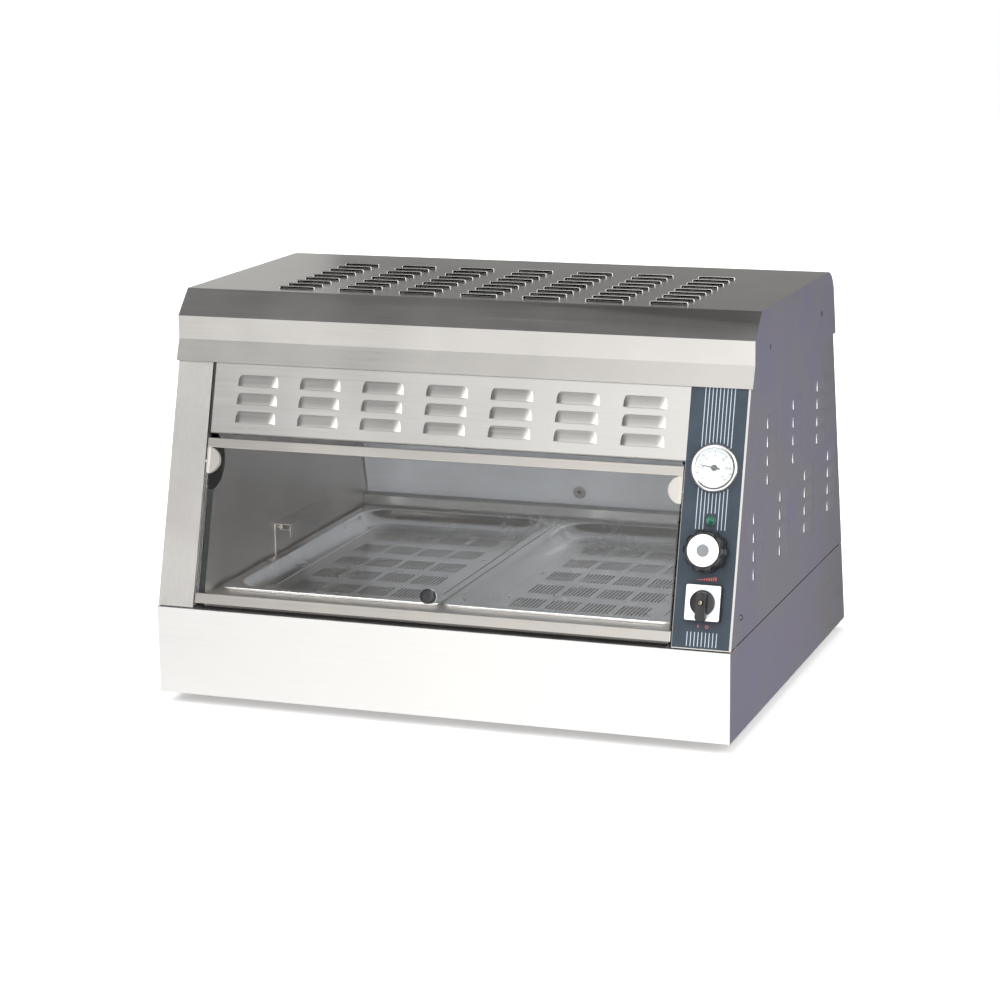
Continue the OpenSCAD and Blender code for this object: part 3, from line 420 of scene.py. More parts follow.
def tube(points, r, sides=10, bend=6.0, steps=5):
    """A round wire along points, with its corners rounded to a bend radius."""
    pts = [Vector(p) for p in points]
    path = [pts[0]]
    for a, b, c in zip(pts, pts[1:], pts[2:]):
        cut = min(bend, (a - b).length * 0.45, (c - b).length * 0.45)
        p, q = b + (a - b).normalized() * cut, b + (c - b).normalized() * cut
        path += [p.lerp(b, t).lerp(b.lerp(q, t), t) for t in (i / steps for i in range(steps + 1))]
    path.append(pts[-1])
    rings, side = [], Vector((0.3, 0.5, 0.81))
    for i, p in enumerate(path):
        d = (path[min(i + 1, len(path) - 1)] - path[max(i - 1, 0)]).normalized()
        side = (side - d * side.dot(d)).normalized()
        up = d.cross(side)
        rings.append([tuple(p + side * (r * math.cos(2 * math.pi * k / sides)) + up * (r * math.sin(2 * math.pi * k / sides))) for k in range(sides)])
    return loft(rings, True, True, True)


# ---------------------------------------------------------------- folded sheet metal
def film_side(normal, centre):
    """Painted shade: the right-hand faces get the darker, violet-tinted side steel."""
    return 1 if normal.x > 0.8 else 0


refine("base_shell", ["base", "side"], 1.4, 3, paint=film_side)
refine("base_floor", "inner", 0.4)
refine("left_side_panel", "pillar", 0.9, 3)
refine("control_panel", ["panel", "side"], 0.8, 3, paint=film_side)
refine("well_tray", "inner", 0.5)
refine("pan_deck", "inner", 0.5)
# Painted shade: the liners' front-facing flanges get the near-black unlit steel.
for node in ("left_liner", "right_liner"):
    refine(node, ["inner", "unlit"], 0.3, paint=lambda n, c: 1 if n.y < -0.5 else 0)
refine("ceiling_panel", "inner", 0.3)
# Painted shade: the rear sill is a dark grey steel.
refine("rear_sill", "sill", 0.5)
refine("rear_header", "panel", 0.4)
refine("probe_guard", "inner", 0.35, 3)
# Painted light: the door's inward face is a pale, nearly non-metallic copy of the steel.
refine("rear_door_panel", ["panel", "painted_light_inner"], 1.2, 3, paint=lambda n, c: 1 if n.y < -0.5 else 0)
refine("rear_door_pins", "bright", 0.5)
refine("rear_door_washer", "bright", 0.5)
refine("element_clips", "inner", 0.4)
refine("heating_element", "element", 0.4)
refine("lamp_reflectors", "reflector", 0.3)
refine("quartz_lamps", "quartz", 0.5)
refine("lamp_holders", "ceramic", 0.8, 3)
refine("lamp_guard", "bright", 0.2)
refine("thermostat_body", "dark_metal", 0.6)
refine("switch_body", "black_satin", 0.6)
refine("terminal_block", "ceramic", 0.6)
refine("cable_gland", "black_satin", 0.6, 3)
refine("rubber_feet", "rubber", 1.0, 3)
refine("foot_screws", "bright", 0.4)
refine("thermometer_case", "dark_metal", 0.4)
refine("door_top_rail", "rail", 0.8, 3)
refine("door_bottom_rail", "rail", 0.8, 3)
refine("door_pins", "bright", 0.5)
refine("door_knob_washer", "bright", 0.5)
refine("door_glass", "glass", 0.5, 2)

# Hood: folded front and rear, a top sheet with pressed lips, and two side plates
LIP_H, MOUTH = hood_hi.z - CASE_H, 51.5
BROW_Y, BAND_Z, BROW_Z = front_at(HOOD_Z + 28.8) - 0.5, HOOD_Z + 28.8, HOOD_Z + 60.8


def hood_lines(t):
    """Front and rear profiles of the hood, t inside its outer skin: lists of (y, z)."""
    top, r = CASE_H - t, 42 - t
    rear_b = rear_at(HOOD_Z) + 3.3 - t
    arc_y = rear_b - (top - HOOD_Z) * RT - r * math.tan(math.radians(45) - REAR_TILT / 2)
    front = [(front_at(HOOD_Z) - 3.3 + t, HOOD_Z), (BROW_Y + t, BAND_Z), (BROW_Y + t, BROW_Z), (BROW_Y + t / 2 + 33, top)]
    return front, arc(arc_y, top - r, r, 90, math.degrees(REAR_TILT), 20) + [(rear_b, HOOD_Z)]


def hood_paint(normal, centre):
    """Painted shade: the darker side steel on the right-hand plate, plain steel outside, and near-black unlit steel on
    the inside faces.
    """
    if abs(centre.x) > CASE_W / 2 - 3 and abs(normal.x) > 0.8:
        return 2 if abs(centre.x) < CASE_W / 2 - 0.5 else 1 if centre.x > 0 else 0
    if normal.z < -0.5:
        return 2
    return 2 if centre.z < CASE_H - 1.2 and normal.y * centre.y < -1 else 0


(front_out, rear_out), (front_in, rear_in) = hood_lines(0), hood_lines(1.5)
half = CASE_W / 2
parts = [loft([[(x, y, z) for y, z in a + b[::-1]] for x in (-half, half)], True, True, True) for a, b in ((front_out, front_in), (rear_out, rear_in))]
mouths, rims = [], []
for x in (10 + (c - 3) * 88.9 for c in range(7)):
    for y in (-47.5 + (r - 4) * 29.4 for r in range(9)):
        mouths.append([(x + a, y + b) for a, b in rounded_rect(MOUTH, 9.0, 2.0, 4, 0, 3.6)])
        parts.append(pressed_louvre(MOUTH + 2.6, 12.5, LIP_H, 4.0, lambda a, b, d, x=x, y=y: (x + a, y + b, CASE_H + d), 26, 8))
        w, h = MOUTH / 2 + 0.2, LIP_H - 0.7
        rims.append(tube([(x - w, y, CASE_H - 0.3), (x - w, y, CASE_H + h), (x + w, y, CASE_H + h), (x + w, y, CASE_H - 0.3)], 0.75, 8, 3.0, 4))
y0, y1 = front_out[-1][0], rear_out[0][0]
parts.append(slab([(-half, y0), (half, y0), (half, y1), (-half, y1)], mouths, CASE_H - 1.5, CASE_H, lambda x, y, z: (x, y, z)))
for s in (-1, 1):
    holes = [arc(y, HOOD_Z + 40.5, 4.3, 0, 345, 23) for y in (-145, 143)]
    parts.append(slab(front_in + rear_in, holes, -1.5, 0, lambda y, z, d, s=s: (s * (half + d), y, z)))
piece("hood_look", *merge(*parts), ["hood", "side", "unlit"], "case", "hood_steel", ["hood"], 0.9, 3, angle=11, smooth=11, paint=hood_paint)
# The lips' rolled edges are real; their brighter, glossier steel than the hood sheet is a painted highlight.
piece("hood_lip_rims", *merge(*rims), "bright", "case", "hood_steel", smooth=60)

# Louvred panel above the glass
pl, pr = (v.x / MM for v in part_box("louvre_panel"))
panel_lo, panel_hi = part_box("louvre_panel")
p_low, _ = front_s_of(Vector((0, front_at(HOOD_Z), HOOD_Z)))
LOUVRE_S = p_low - 98
TOP_S = p_low + 12.6 / math.cos(TILT)
louvres, openings = [], []
for c in range(7):
    for r in range(3):
        x, s = -355 + 70 + c * 92, LOUVRE_S + 16 + r * 25
        louvres.append(pressed_louvre(59.5, 16, 3.7, 9, slope_place(x, s)))
        openings.append([(x + a, s + b) for a, b in rounded_rect(48, 9, 3, 4, 0, 5)])
sheet = slab([(pl, LOUVRE_S), (pr, LOUVRE_S), (pr, TOP_S), (pl, TOP_S)], openings, -1.5, 0, lambda x, y, z: on_front(x, y, z))
fold = loft([[on_front(x, s, n) for s, n in ((LOUVRE_S, 0), (LOUVRE_S - 0.0, -14), (LOUVRE_S + 1.5, -14), (LOUVRE_S + 1.5, 0))] for x in (pl, pr)], True, True, True)
piece("louvre_panel_look", *merge(sheet, fold, *louvres), "panel", "case", "panel_steel", ["louvre_panel"], 0.0, smooth=40)

# Right side panel with its staggered louvres
side_x = HALF_W
wrap = 22.6
top_z = HOOD_Z + 54
outline = [(front_at(BASE_Z + 1.2) + wrap, BASE_Z + 1.2), (rear_at(BASE_Z + 1.2), BASE_Z + 1.2), (rear_at(top_z), top_z), (front_at(top_z) + wrap, top_z)]
side_place = lambda x, y, z: (side_x + z, x, y)
louvres, openings = [], []
for c in range(7):
    for r in range(4):
        y, z = -192 + 70 * c, (BASE_Z + 70.5 if c % 2 == 0 else BASE_Z + 184) + 25 * r
        louvres.append(pressed_louvre(52, 17.5, 3.0, 12, lambda a, b, d, y=y, z=z: (side_x + d, y + a, z + b), 30, 12))
        openings.append([(y + a, z + b) for a, b in rounded_rect(40, 9, 3, 4, 0, 5.5)])
for y in (-145, 143):
    openings.append([(y + a, HOOD_Z + 40.5 + b) for a, b in arc(0, 0, 2.4, 0, 345, 23)])
screw_z = BASE_Z + 35
screw_y = front_at(screw_z) + 22 + 16
openings.append([(screw_y + a, screw_z + b) for a, b in arc(0, 0, 2.4, 0, 345, 23)])
sheet = slab(outline, openings, -1.5, 0, side_place)
cavity_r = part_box("right_liner")[0].x / MM
rear_top = HOOD_Z + 14
strip = loft([[(x, rear_at(z) - d * (1.5 / math.cos(REAR_TILT)), z) for z, d in ((BASE_Z + 1.2, 0), (rear_top, 0), (rear_top, 1), (BASE_Z + 1.2, 1))] for x in (cavity_r, side_x)], True, True, True)
hem = loft([[(x, rear_at(z) - d, z) for z, d in ((BASE_Z + 2.4, 0), (HOOD_Z + 10.6, 0), (HOOD_Z + 10.6, 14), (BASE_Z + 2.4, 14))] for x in (cavity_r, cavity_r + 1.5)], True, True, True)
foot = loft([[(x, y, z) for x, z in ((side_x - 20, BASE_Z), (side_x, BASE_Z), (side_x, BASE_Z + 2.7), (side_x - 20, BASE_Z + 2.7))] for y in (front_at(BASE_Z) + 26, rear_at(BASE_Z) - 20)], True, True, True)
piece("right_side_panel_look", *merge(sheet, strip, hem, foot, *louvres), ["panel", "side"], "case", "panel_steel", ["right_side_panel"], 0.0, smooth=40, paint=film_side)


# Painted shade: dark strips in the gaps along the louvred panel's left edge, and under the door's bottom rail
gap_shade_t, gap_shade_w = 0.6, 3.0
edge = loft([[on_front(pl + x, s, n) for x, n in ((0, 0.05), (gap_shade_w, 0.05), (gap_shade_w, 0.05 + gap_shade_t / 3), (0, 0.05 + gap_shade_t / 3))] for s in (LOUVRE_S, TOP_S)], True, True, True)
deck_lo, deck_hi = (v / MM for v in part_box("pan_deck"))
front_y = front_at(BASE_Z) + 1.0
ledge = slab([(deck_lo.x, front_y), (deck_hi.x, front_y), (deck_hi.x, deck_lo.y), (deck_lo.x, deck_lo.y)], [], BASE_Z + 0.05, BASE_Z + 0.05 + gap_shade_t, lambda x, y, z: (x, y, z))
piece("gap_shade_strips", *merge(edge, ledge), "rubber", "case", "black_plastic", smooth=40)


# ---------------------------------------------------------------- screws
def screw_head(place, r, h, drive="cross"):
    """A pan head, and dark cross bars on it as the painted shade of its cross recess."""
    profile = [(r, -0.2), (r, h * 0.25), (r * 0.93, h * 0.6), (r * 0.72, h * 0.9), (r * 0.4, h)]
    head = lathe(profile, place, 32, False, True)
    bars = []
    for k in (0, 1):
        a, b = (r * 0.62, r * 0.13) if k == 0 else (r * 0.13, r * 0.62)
        bars.append(slab([(-a, -b), (a, -b), (a, b), (-a, b)], [], h * 0.9, h + 0.06, place))
    return head, merge(*bars)


heads, marks = [], []
for y in (-145, 143):
    for s in (-1, 1):
        a, b = screw_head(lambda x, yy, z, s=s, y=y: (s * (CASE_W / 2 - 0.6 + z), y + x, HOOD_Z + 40.5 + yy), 4.2, 0.6)
        stem = lathe([(2, -10), (2, 0)], lambda x, yy, z, s=s, y=y: (s * (CASE_W / 2 + z), y + x, HOOD_Z + 40.5 + yy), 16)
        heads += [a, stem]
        marks.append(b)
piece("hood_screws_look", *merge(*heads), "dark_metal", "case", "bright_metal", ["hood_screws"], smooth=40)
a, b = screw_head(lambda x, y, z: (HALF_W + z, screw_y + x, screw_z + y), 4.0, 2.0)
stem = lathe([(2, -8), (2, 0)], lambda x, y, z: (HALF_W + z, screw_y + x, screw_z + y), 16)
marks.append(b)
piece("side_screws_look", *merge(a, stem), "dark_metal", "case", "bright_metal", ["side_screws"], smooth=40)
# Painted shade: dark bars standing in for the screws' cross recesses.
piece("screw_recess_shades", *merge(*marks), "black_satin", "case", "black_plastic")

# ---------------------------------------------------------------- control column
over_lo, over_hi = (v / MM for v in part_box("fascia_overlay"))
CTL_X = joints["thermostat_turn"]["pos_m"][0] / MM
dial_s = front_s_of(Vector(joints["needle_turn"]["pos_m"]) / MM)[0]
knob_s = front_s_of(Vector(joints["thermostat_turn"]["pos_m"]) / MM)[0]
switch_s = front_s_of(Vector(joints["switch_turn"]["pos_m"]) / MM)[0]
lamp_s = knob_s + 40
refine("fascia_overlay", "fascia", 0.2, 2)
ov_l, ov_r, ov_low, ov_top = over_lo.x, over_hi.x, 2.5, TOP_S - 2
stripes = []
for k in range(9):
    x = CTL_X - 0.1 + (k - 4) * 4.9
    reach = math.sqrt(max(0, 31.5 ** 2 - (x - CTL_X) ** 2))
    for s0, s1 in ((5, 23.7), (156, dial_s - reach - 1.5), (dial_s + reach + 1.5, ov_top - 0.5)):
        if s0 == 156 and abs(x - CTL_X) < 8.5:
            s0 = lamp_s + 9
        stripes.append(slab([(x - 0.55, s0), (x + 0.55, s0), (x + 0.55, s1), (x - 0.55, s1)], [], 0.55, 0.68, lambda a, b, c: on_front(a, b, c)))
piece("fascia_stripes", *merge(*stripes), "stripe", "case", "fascia")
# Plain marks: a rising wedge for heat, a bar and a ring for the switch
wedge = [slab([(-12 + 3 * i, 90.5), (-10.4 + 3 * i, 90.5), (-10.4 + 3 * i, 91.3 + 0.55 * i), (-12 + 3 * i, 91.3 + 0.55 * i)], [], 0.55, 0.68, lambda a, b, c: on_front(CTL_X + a, b, c)) for i in range(9)]
bar = slab([(-6.6, 29.2), (-5.6, 29.2), (-5.6, 33.2), (-6.6, 33.2)], [], 0.55, 0.68, lambda a, b, c: on_front(CTL_X + a, b, c))
ring = slab(arc(5.5, 31.2, 2.1, 0, 348, 29), [arc(5.5, 31.2, 1.3, 0, 348, 29)], 0.55, 0.68, lambda a, b, c: on_front(CTL_X + a, b, c))
piece("fascia_marks", *merge(*wedge, bar, ring), "red_mark", "case", "fascia")

# Thermometer
dial = slope_place(CTL_X, dial_s)
bezel_r = 31.5
can_r = bezel_r - 3.5
piece("thermometer_bezel_look", *lathe([(can_r, 0.6), (bezel_r, 0.6), (bezel_r, 4.6), (bezel_r - 0.3, 6.0), (bezel_r - 1.2, 7.2), (bezel_r - 2.4, 7.8), (bezel_r - 3.6, 7.7), (bezel_r - 4.6, 7.1),
      (bezel_r - 5.6, 6.2), (can_r - 1.4, 5.2), (can_r - 1.4, 3.6), (can_r, 3.6), (can_r, 0.6)], dial, 96, False, False), "chrome", "case", "bright_metal", ["thermometer_bezel"], smooth=40)
piece("thermometer_dial_look", *merge(slab(arc(0, 0, can_r - 1.3, 0, 356, 89), [arc(0, 0, 1.3, 0, 340, 17)], 2.2, 3.0, dial)), "enamel", "case", "white_enamel", ["thermometer_dial"])
ticks = []
R0 = 22.4
for k in range(61):
    a = math.radians(225 - 270 * k / 60)
    major, mid = k % 10 == 0, k % 5 == 0
    r0, r1, w = (R0 - 3.6, R0, 0.42) if major else ((R0 - 2.6, R0, 0.28) if mid else (R0 - 1.5, R0, 0.17))
    ca, sa = math.cos(a), math.sin(a)
    ticks.append(slab([(r0 * ca - w * sa, r0 * sa + w * ca), (r0 * ca + w * sa, r0 * sa - w * ca), (r1 * ca + w * sa, r1 * sa - w * ca), (r1 * ca - w * sa, r1 * sa + w * ca)][::-1], [], 2.98, 3.1, dial))
for a in (198, -17):
    a = math.radians(a)
    ticks.append(slab([(23.3 * math.cos(a) + p, 23.3 * math.sin(a) + q) for p, q in arc(0, 0, 0.8, 0, 330, 11)], [], 2.98, 3.12, dial))
piece("dial_ticks", *merge(*ticks), "ink", "case", "black_plastic")


def lettering(name, text, size, x, y, place, mat, lift=3.0):
    """Generic scale numbers as thin raised print."""
    curve = bpy.data.curves.new(name, "FONT")
    curve.body, curve.size, curve.align_x, curve.align_y = text, size, "CENTER", "CENTER"
    curve.extrude = 0.04
    obj = bpy.data.objects.new(name + "_curve", curve)
    bpy.context.scene.collection.objects.link(obj)
    bpy.context.view_layer.update()
    me = bpy.data.meshes.new_from_object(obj.evaluated_get(bpy.context.evaluated_depsgraph_get()))
    verts = [place(x + v.co.x, y + v.co.y, lift + 0.05 + v.co.z) for v in me.vertices]
    faces = [tuple(p.vertices) for p in me.polygons]
    bpy.data.objects.remove(obj)
    return verts, faces


numbers = []
for k, value in enumerate((0, 20, 40, 60, 80, 100, 120)):
    a = math.radians(225 - 45 * k)
    r = 15.6 if value < 100 else 15.0
    numbers.append(lettering(f"n{value}", str(value), 4.3, r * math.cos(a), r * math.sin(a), dial, "ink"))
numbers.append(lettering("unit", "°C", 3.6, 0, -8.2, dial, "ink"))
piece("dial_numbers", *merge(*numbers), "ink", "case", "black_plastic", weld=0)
needle_a = math.radians(171)
blade = [(-7.5, -0.75), (-7.2, -0.9), (0, -0.8), (19.6, -0.22), (20, 0), (19.6, 0.22), (0, 0.8), (-7.2, 0.9), (-7.5, 0.75)]
blade = [(x * math.cos(needle_a) - y * math.sin(needle_a), x * math.sin(needle_a) + y * math.cos(needle_a)) for x, y in blade]
needle = slab(blade, [], 3.65, 4.2, dial)
hub = lathe([(4.0, 3.6), (4.0, 4.2), (3.6, 4.9), (2.4, 5.2), (1.06, 5.25), (1.06, 3.6)], dial, 48, False, False)
piece("thermometer_needle_look", *merge(needle, hub), "ink", "thermometer_needle", "black_plastic", ["thermometer_needle"], smooth=40)
piece("thermometer_lens_look", *lathe([(can_r - 1.4, 5.4), (can_r - 1.4, 6.2), (can_r - 4, 6.45), (12, 6.55), (4, 6.6)], dial, 72), "lens", "case", "glass", ["thermometer_lens"], smooth=30)

# Pilot lamp
pilot = slope_place(CTL_X, lamp_s)
piece("pilot_lamp_look", *lathe([(5, -22), (5, 0.6), (7.3, 0.6), (7.3, 1.5), (6.9, 2.3), (6.3, 2.4), (5.9, 2.0), (4.0, 2.0), (4.0, 0.4)], pilot, 48, True, True), "dark_metal", "case", "dark_metal", ["pilot_lamp"], smooth=40)
facets = [(5.9, 2.2), (5.7, 3.4)]
for i in range(6):
    r = 5.5 - i * 0.85
    facets += [(r, 3.9 + 0.32 * i), (r - 0.42, 3.75 + 0.32 * i)]
piece("pilot_lens_look", *lathe(facets + [(0.3, 5.6)], pilot, 24), "green", "case", "green_lens", ["pilot_lens"], smooth=20)

# Thermostat knob
knob = slope_place(CTL_X, knob_s)
KR, LOBES = 28.5, 10


def lobe_radius(a, depth=1.0):
    """Outline of the scalloped grip."""
    best = KR
    for i in range(LOBES):
        d = (a - (i + 0.5) * 2 * math.pi / LOBES + math.pi) % (2 * math.pi) - math.pi
        far, cut = KR + 3.4, 6.2
        if abs(far * math.sin(d)) < cut and math.cos(d) > 0:
            best = min(best, far * math.cos(d) - math.sqrt(cut ** 2 - (far * math.sin(d)) ** 2))
    soft = KR - (KR - best) * depth
    return soft


def knob_ring(scale, z, depth=1.0, inset=0.0, steps=240):
    out = []
    for i in range(steps):
        a = 2 * math.pi * i / steps
        r = lobe_radius(a, depth) * scale - inset
        out.append(knob(r * math.cos(a), r * math.sin(a), z))
    return out


rings = [knob_ring(1, 2.4, 0, 9.0), knob_ring(1, 2.4, 0.9, 1.2), knob_ring(1, 3.2, 1, 0.4), knob_ring(1, 4.4, 1, 0.0), knob_ring(1, 12, 1, 0.3), knob_ring(1, 20, 1, 0.6), knob_ring(1, 24.6, 1, 0.9),
         knob_ring(1, 26.6, 1, 1.6), knob_ring(1, 27.8, 0.9, 2.8), knob_ring(1, 28.4, 0.7, 4.2), knob_ring(1, 28.4, 0.0, 6.4), knob_ring(1, 28.0, 0.0, 7.1), knob_ring(1, 26.4, 0.0, 7.5), knob_ring(1, 26.4, 0.0, 20)]
body = loft(rings, True, True, True)
shaft = lathe([(3, -14), (3, 3)], knob, 32)
piece("thermostat_knob_look", *merge(body, shaft), "black", "thermostat_knob", "black_plastic", ["thermostat_knob"], smooth=45)
disc = lathe([(20.9, 26.4), (20.9, 28.2), (20.4, 28.7), (19.6, 28.8), (8.2, 28.8), (8.0, 28.5)], knob, 72, True, True)
dot = lathe([(8.0, 28.4), (8.0, 28.9), (7.6, 29.3), (6.8, 29.4), (3.0, 29.4)], knob, 48, True, True)
v, f = merge(disc, dot)
count = len(disc[1])
obj = piece("thermostat_disc_look", v, f, ["white", "grey_dot"], "thermostat_knob", "white_plastic", ["thermostat_disc"], smooth=40, weld=0,
            paint=lambda n, c: 1 if (c - Vector(knob(0, 0, 28.5))).length < 8.3 else 0)

# Rotary switch
switch = slope_place(CTL_X, switch_s)
W = 47.5
body = loft([[switch(x, y, z) for x, y in rounded_rect(W - 2 * i, W - 2 * i, 3 - i * 0.5, 8)] for z, i in ((0.6, 0.5), (1.2, 0.0), (8.4, 0.0), (9.2, 0.3), (9.6, 1.0))], True, True, True)
piece("switch_plate_look", *body, "black_satin", "case", "white_plastic", ["switch_plate"], smooth=40)
face = loft([[switch(x, y, z) for x, y in rounded_rect(W - 1.6 - 2 * i, W - 1.6 - 2 * i, 2.4, 8)] for z, i in ((9.2, 0.0), (9.75, 0.0), (9.9, 0.4))], True, True, True)
piece("switch_face", *face, "white", "case", "white_plastic", smooth=40)
# Painted shade: a greyer patch on the white switch face beside the handle.
switch_shade_patch = loft([[switch(x, y, z) for x, y in rounded_rect(26 - 2 * i, 40 - 2 * i, 4, 8, 6, 0)] for z, i in ((9.85, 0.0), (9.98, 0.1))], True, True, True)
piece("switch_shade", *switch_shade_patch, "enamel", "case", "white_plastic", smooth=40)
hub = lathe([(16.5, 10.1), (16.5, 12.0), (16.0, 12.8), (15.0, 13.1), (6, 13.1)], switch, 72, True, True)


def bar_ring(inset, z):
    """An outline of the grip, sinking towards its ends like the top of a wide drum."""
    loop = rounded_rect(14.5 - 2 * inset, 38 - 2 * inset, max(0.6, 5 - inset), 8, 0, -5)
    return [switch(x, y, min(z, math.sqrt(40 ** 2 - (y + 3) ** 2) - 16 - 0.1 * inset)) for x, y in loop]


grip = loft([bar_ring(0, 13.0), bar_ring(0, 15.0), bar_ring(0.3, 19.0), bar_ring(0.9, 21.8), bar_ring(1.8, 23.2), bar_ring(3.0, 23.9)], True, True, True)
stem = lathe([(3, -16), (3, 10.2)], switch, 32)
piece("switch_handle_look", *merge(hub, grip, stem), "black", "switch_handle", "black_plastic", ["switch_handle"], smooth=45)
well = lathe([(3.6, 23.7), (3.6, 24.0), (3.1, 24.0), (3.1, 23.0)], switch, 32, False, True)
piece("switch_screw_well", *well, "black_satin", "switch_handle", "black_plastic", smooth=40)
a, b = screw_head(lambda x, y, z: switch(x, y, 23.1 + z), 3.0, 0.8)
piece("switch_screw_look", *a, "brass", "switch_handle", "bright_metal", ["switch_screw"], smooth=40)
# Painted shade: dark bars standing in for the screw's cross recess.
piece("switch_screw_recess_shade", *b, "black_satin", "switch_handle", "black_plastic")

# ---------------------------------------------------------------- front door fittings
plates_lo, plates_hi = (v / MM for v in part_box("door_hinge_plates"))
axis_s, axis_n = front_s_of(Vector(joints["front_door_hinge"]["pos_m"]) / MM)
plate_mid = axis_s + 1.5
door_face, door_back = axis_n + 2.5, axis_n - 2.5
plates = []
for x0, s in ((plates_lo.x, 1), (plates_hi.x, -1)):
    d = [(0, -18), (6, -18)] + arc(0.8, 0, 18.2, -72, 72, 24)[1:-1] + [(6, 18), (0, 18)]
    place = lambda x, y, z, x0=x0, s=s: on_front(x0 + s * x, plate_mid + y, z)
    d = d if s > 0 else d
    plates.append(slab(d, [], door_face, door_face + 1.6, place))
    plates.append(slab(d, [], door_back - 1.6, door_back, place))
    plates.append(loft([[place(x, y, z) for x, z in ((0, door_back - 1.6), (1.4, door_back - 1.6), (1.4, door_face + 1.6), (0, door_face + 1.6))] for y in (-18, 18)], True, True, True))
    for k in (2.6, 4.4):
        plates.append(loft([[place(x, y, z) for x, z in ((k - 0.35, door_face + 1.5), (k + 0.35, door_face + 1.5), (k + 0.2, door_face + 1.95), (k - 0.2, door_face + 1.95))] for y in (-17.4, 17.4)], True, True, True))
piece("door_hinge_plates_look", *merge(*plates), "plate", "front_door", "rail_steel", ["door_hinge_plates"], 0.3, 2, smooth=40)

pull_lo, pull_hi = (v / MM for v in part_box("door_knob"))
pull_x = (pull_lo.x + pull_hi.x) / 2
pull_s = 8 + 34


def pull(place, out, stud):
    return lathe([(3, -stud), (3, 0), (7.4, 0), (7.6, 0.4), (7.6, 1.6), (9.6, 2.4), (10, 3.2), (10, out - 2.6), (9.7, out - 1.4), (8.8, out - 0.5), (7.4, out), (4.0, out - 0.15)], place, 72)


piece("door_knob_look", *pull(slope_place(pull_x, pull_s, door_face), 11, 8), "black", "front_door", "black_plastic", ["door_knob"], smooth=40)
rear_lo, rear_hi = (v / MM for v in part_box("rear_door_knob"))
rx = (rear_lo.x + rear_hi.x) / 2


def on_rear(x, s, n):
    return (x, rear_at(BASE_Z) - s * math.sin(REAR_TILT) + n * math.cos(REAR_TILT), BASE_Z + s * math.cos(REAR_TILT) + n * math.sin(REAR_TILT))


washer_lo, washer_hi = (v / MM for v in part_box("rear_door_washer"))
wc = (washer_lo + washer_hi) / 2
rear_pull_s = (rear_at(BASE_Z) - wc.y) * math.sin(REAR_TILT) + (wc.z - BASE_Z) * math.cos(REAR_TILT)
piece("rear_door_knob_look", *pull(lambda x, y, z: on_rear(rx - x, rear_pull_s + y, -1.5 + z), 11, 13), "black", "rear_door", "black_plastic", ["rear_door_knob"], smooth=40)

# ---------------------------------------------------------------- perforated pans
for node in ("left_pan", "right_pan"):
    lo, hi = (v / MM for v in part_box(node))
    cx, cy = (lo.x + hi.x) / 2, (lo.y + hi.y) / 2
    pw, plen, top, floor_z = hi.x - lo.x, hi.y - lo.y, hi.z, lo.z + 1.2
    iw, il = pw - 30, plen - 30

    def ring(w, l, r, z, steps=14):
        return [(x, y, z) for x, y in rounded_rect(w, l, r, steps, cx, cy)]

    rings = [ring(pw, plen, 14, top - 3.6), ring(pw, plen, 14, top - 1.4), ring(pw - 0.8, plen - 0.8, 13.6, top - 0.4), ring(pw - 2.4, plen - 2.4, 13, top),
             ring(pw - 6, plen - 6, 12, top - 0.05), ring(pw - 9, plen - 9, 14, top - 0.55), ring(iw + 9, il + 9, 49, top - 0.6)]
    for k in range(1, 5):
        a = math.radians(60 * k / 4)
        rings.append(ring(iw + 9 - 8 * math.sin(a), il + 9 - 8 * math.sin(a), 49 - 3 * math.sin(a), top - 0.6 - 4.0 * (1 - math.cos(a))))
    x_in, z_at = 9 - 8 * math.sin(math.radians(60)), top - 2.6
    for k in range(1, 11):
        a = math.radians(24 + 66 * k / 10)
        run_in, fall = 1 - math.cos(a) - (1 - math.cos(math.radians(24))), math.sin(a) - math.sin(math.radians(24))
        size = (z_at - floor_z) / (1 - math.sin(math.radians(24)))
        rings.append(ring(iw + x_in - 2 * size * run_in, il + x_in - 2 * size * run_in, 46.4 - 0.7 * size * run_in, z_at - size * fall))
    edge = [(p[0], p[1]) for p in rings[-1]]
    holes = []
    for c in range(4):
        for r in range(5):
            for k in range(8):
                hx, hy = cx + (c - 1.5) * 50.5 + (k - 3.5) * 5.4, cy + (r - 2) * 77
                holes.append([(hx + y, hy + x) for x, y in stadium(48, 2.5, 3)])
    obj = piece(node + "_look", *loft(rings), "pan", node, "pan_steel", [node], smooth=50, weld=0.02)
    thick = obj.modifiers.new("sheet", "SOLIDIFY")
    thick.thickness = 1.0 * MM
    thick.offset = -1.0 if obj.data.polygons[0].normal.z > -0.5 else 1.0
    piece(node + "_floor", *slab(edge, holes, floor_z - 0.8, floor_z, lambda x, y, z: (x, y, z)), "pan", node, "pan_steel", smooth=40, weld=0.02)

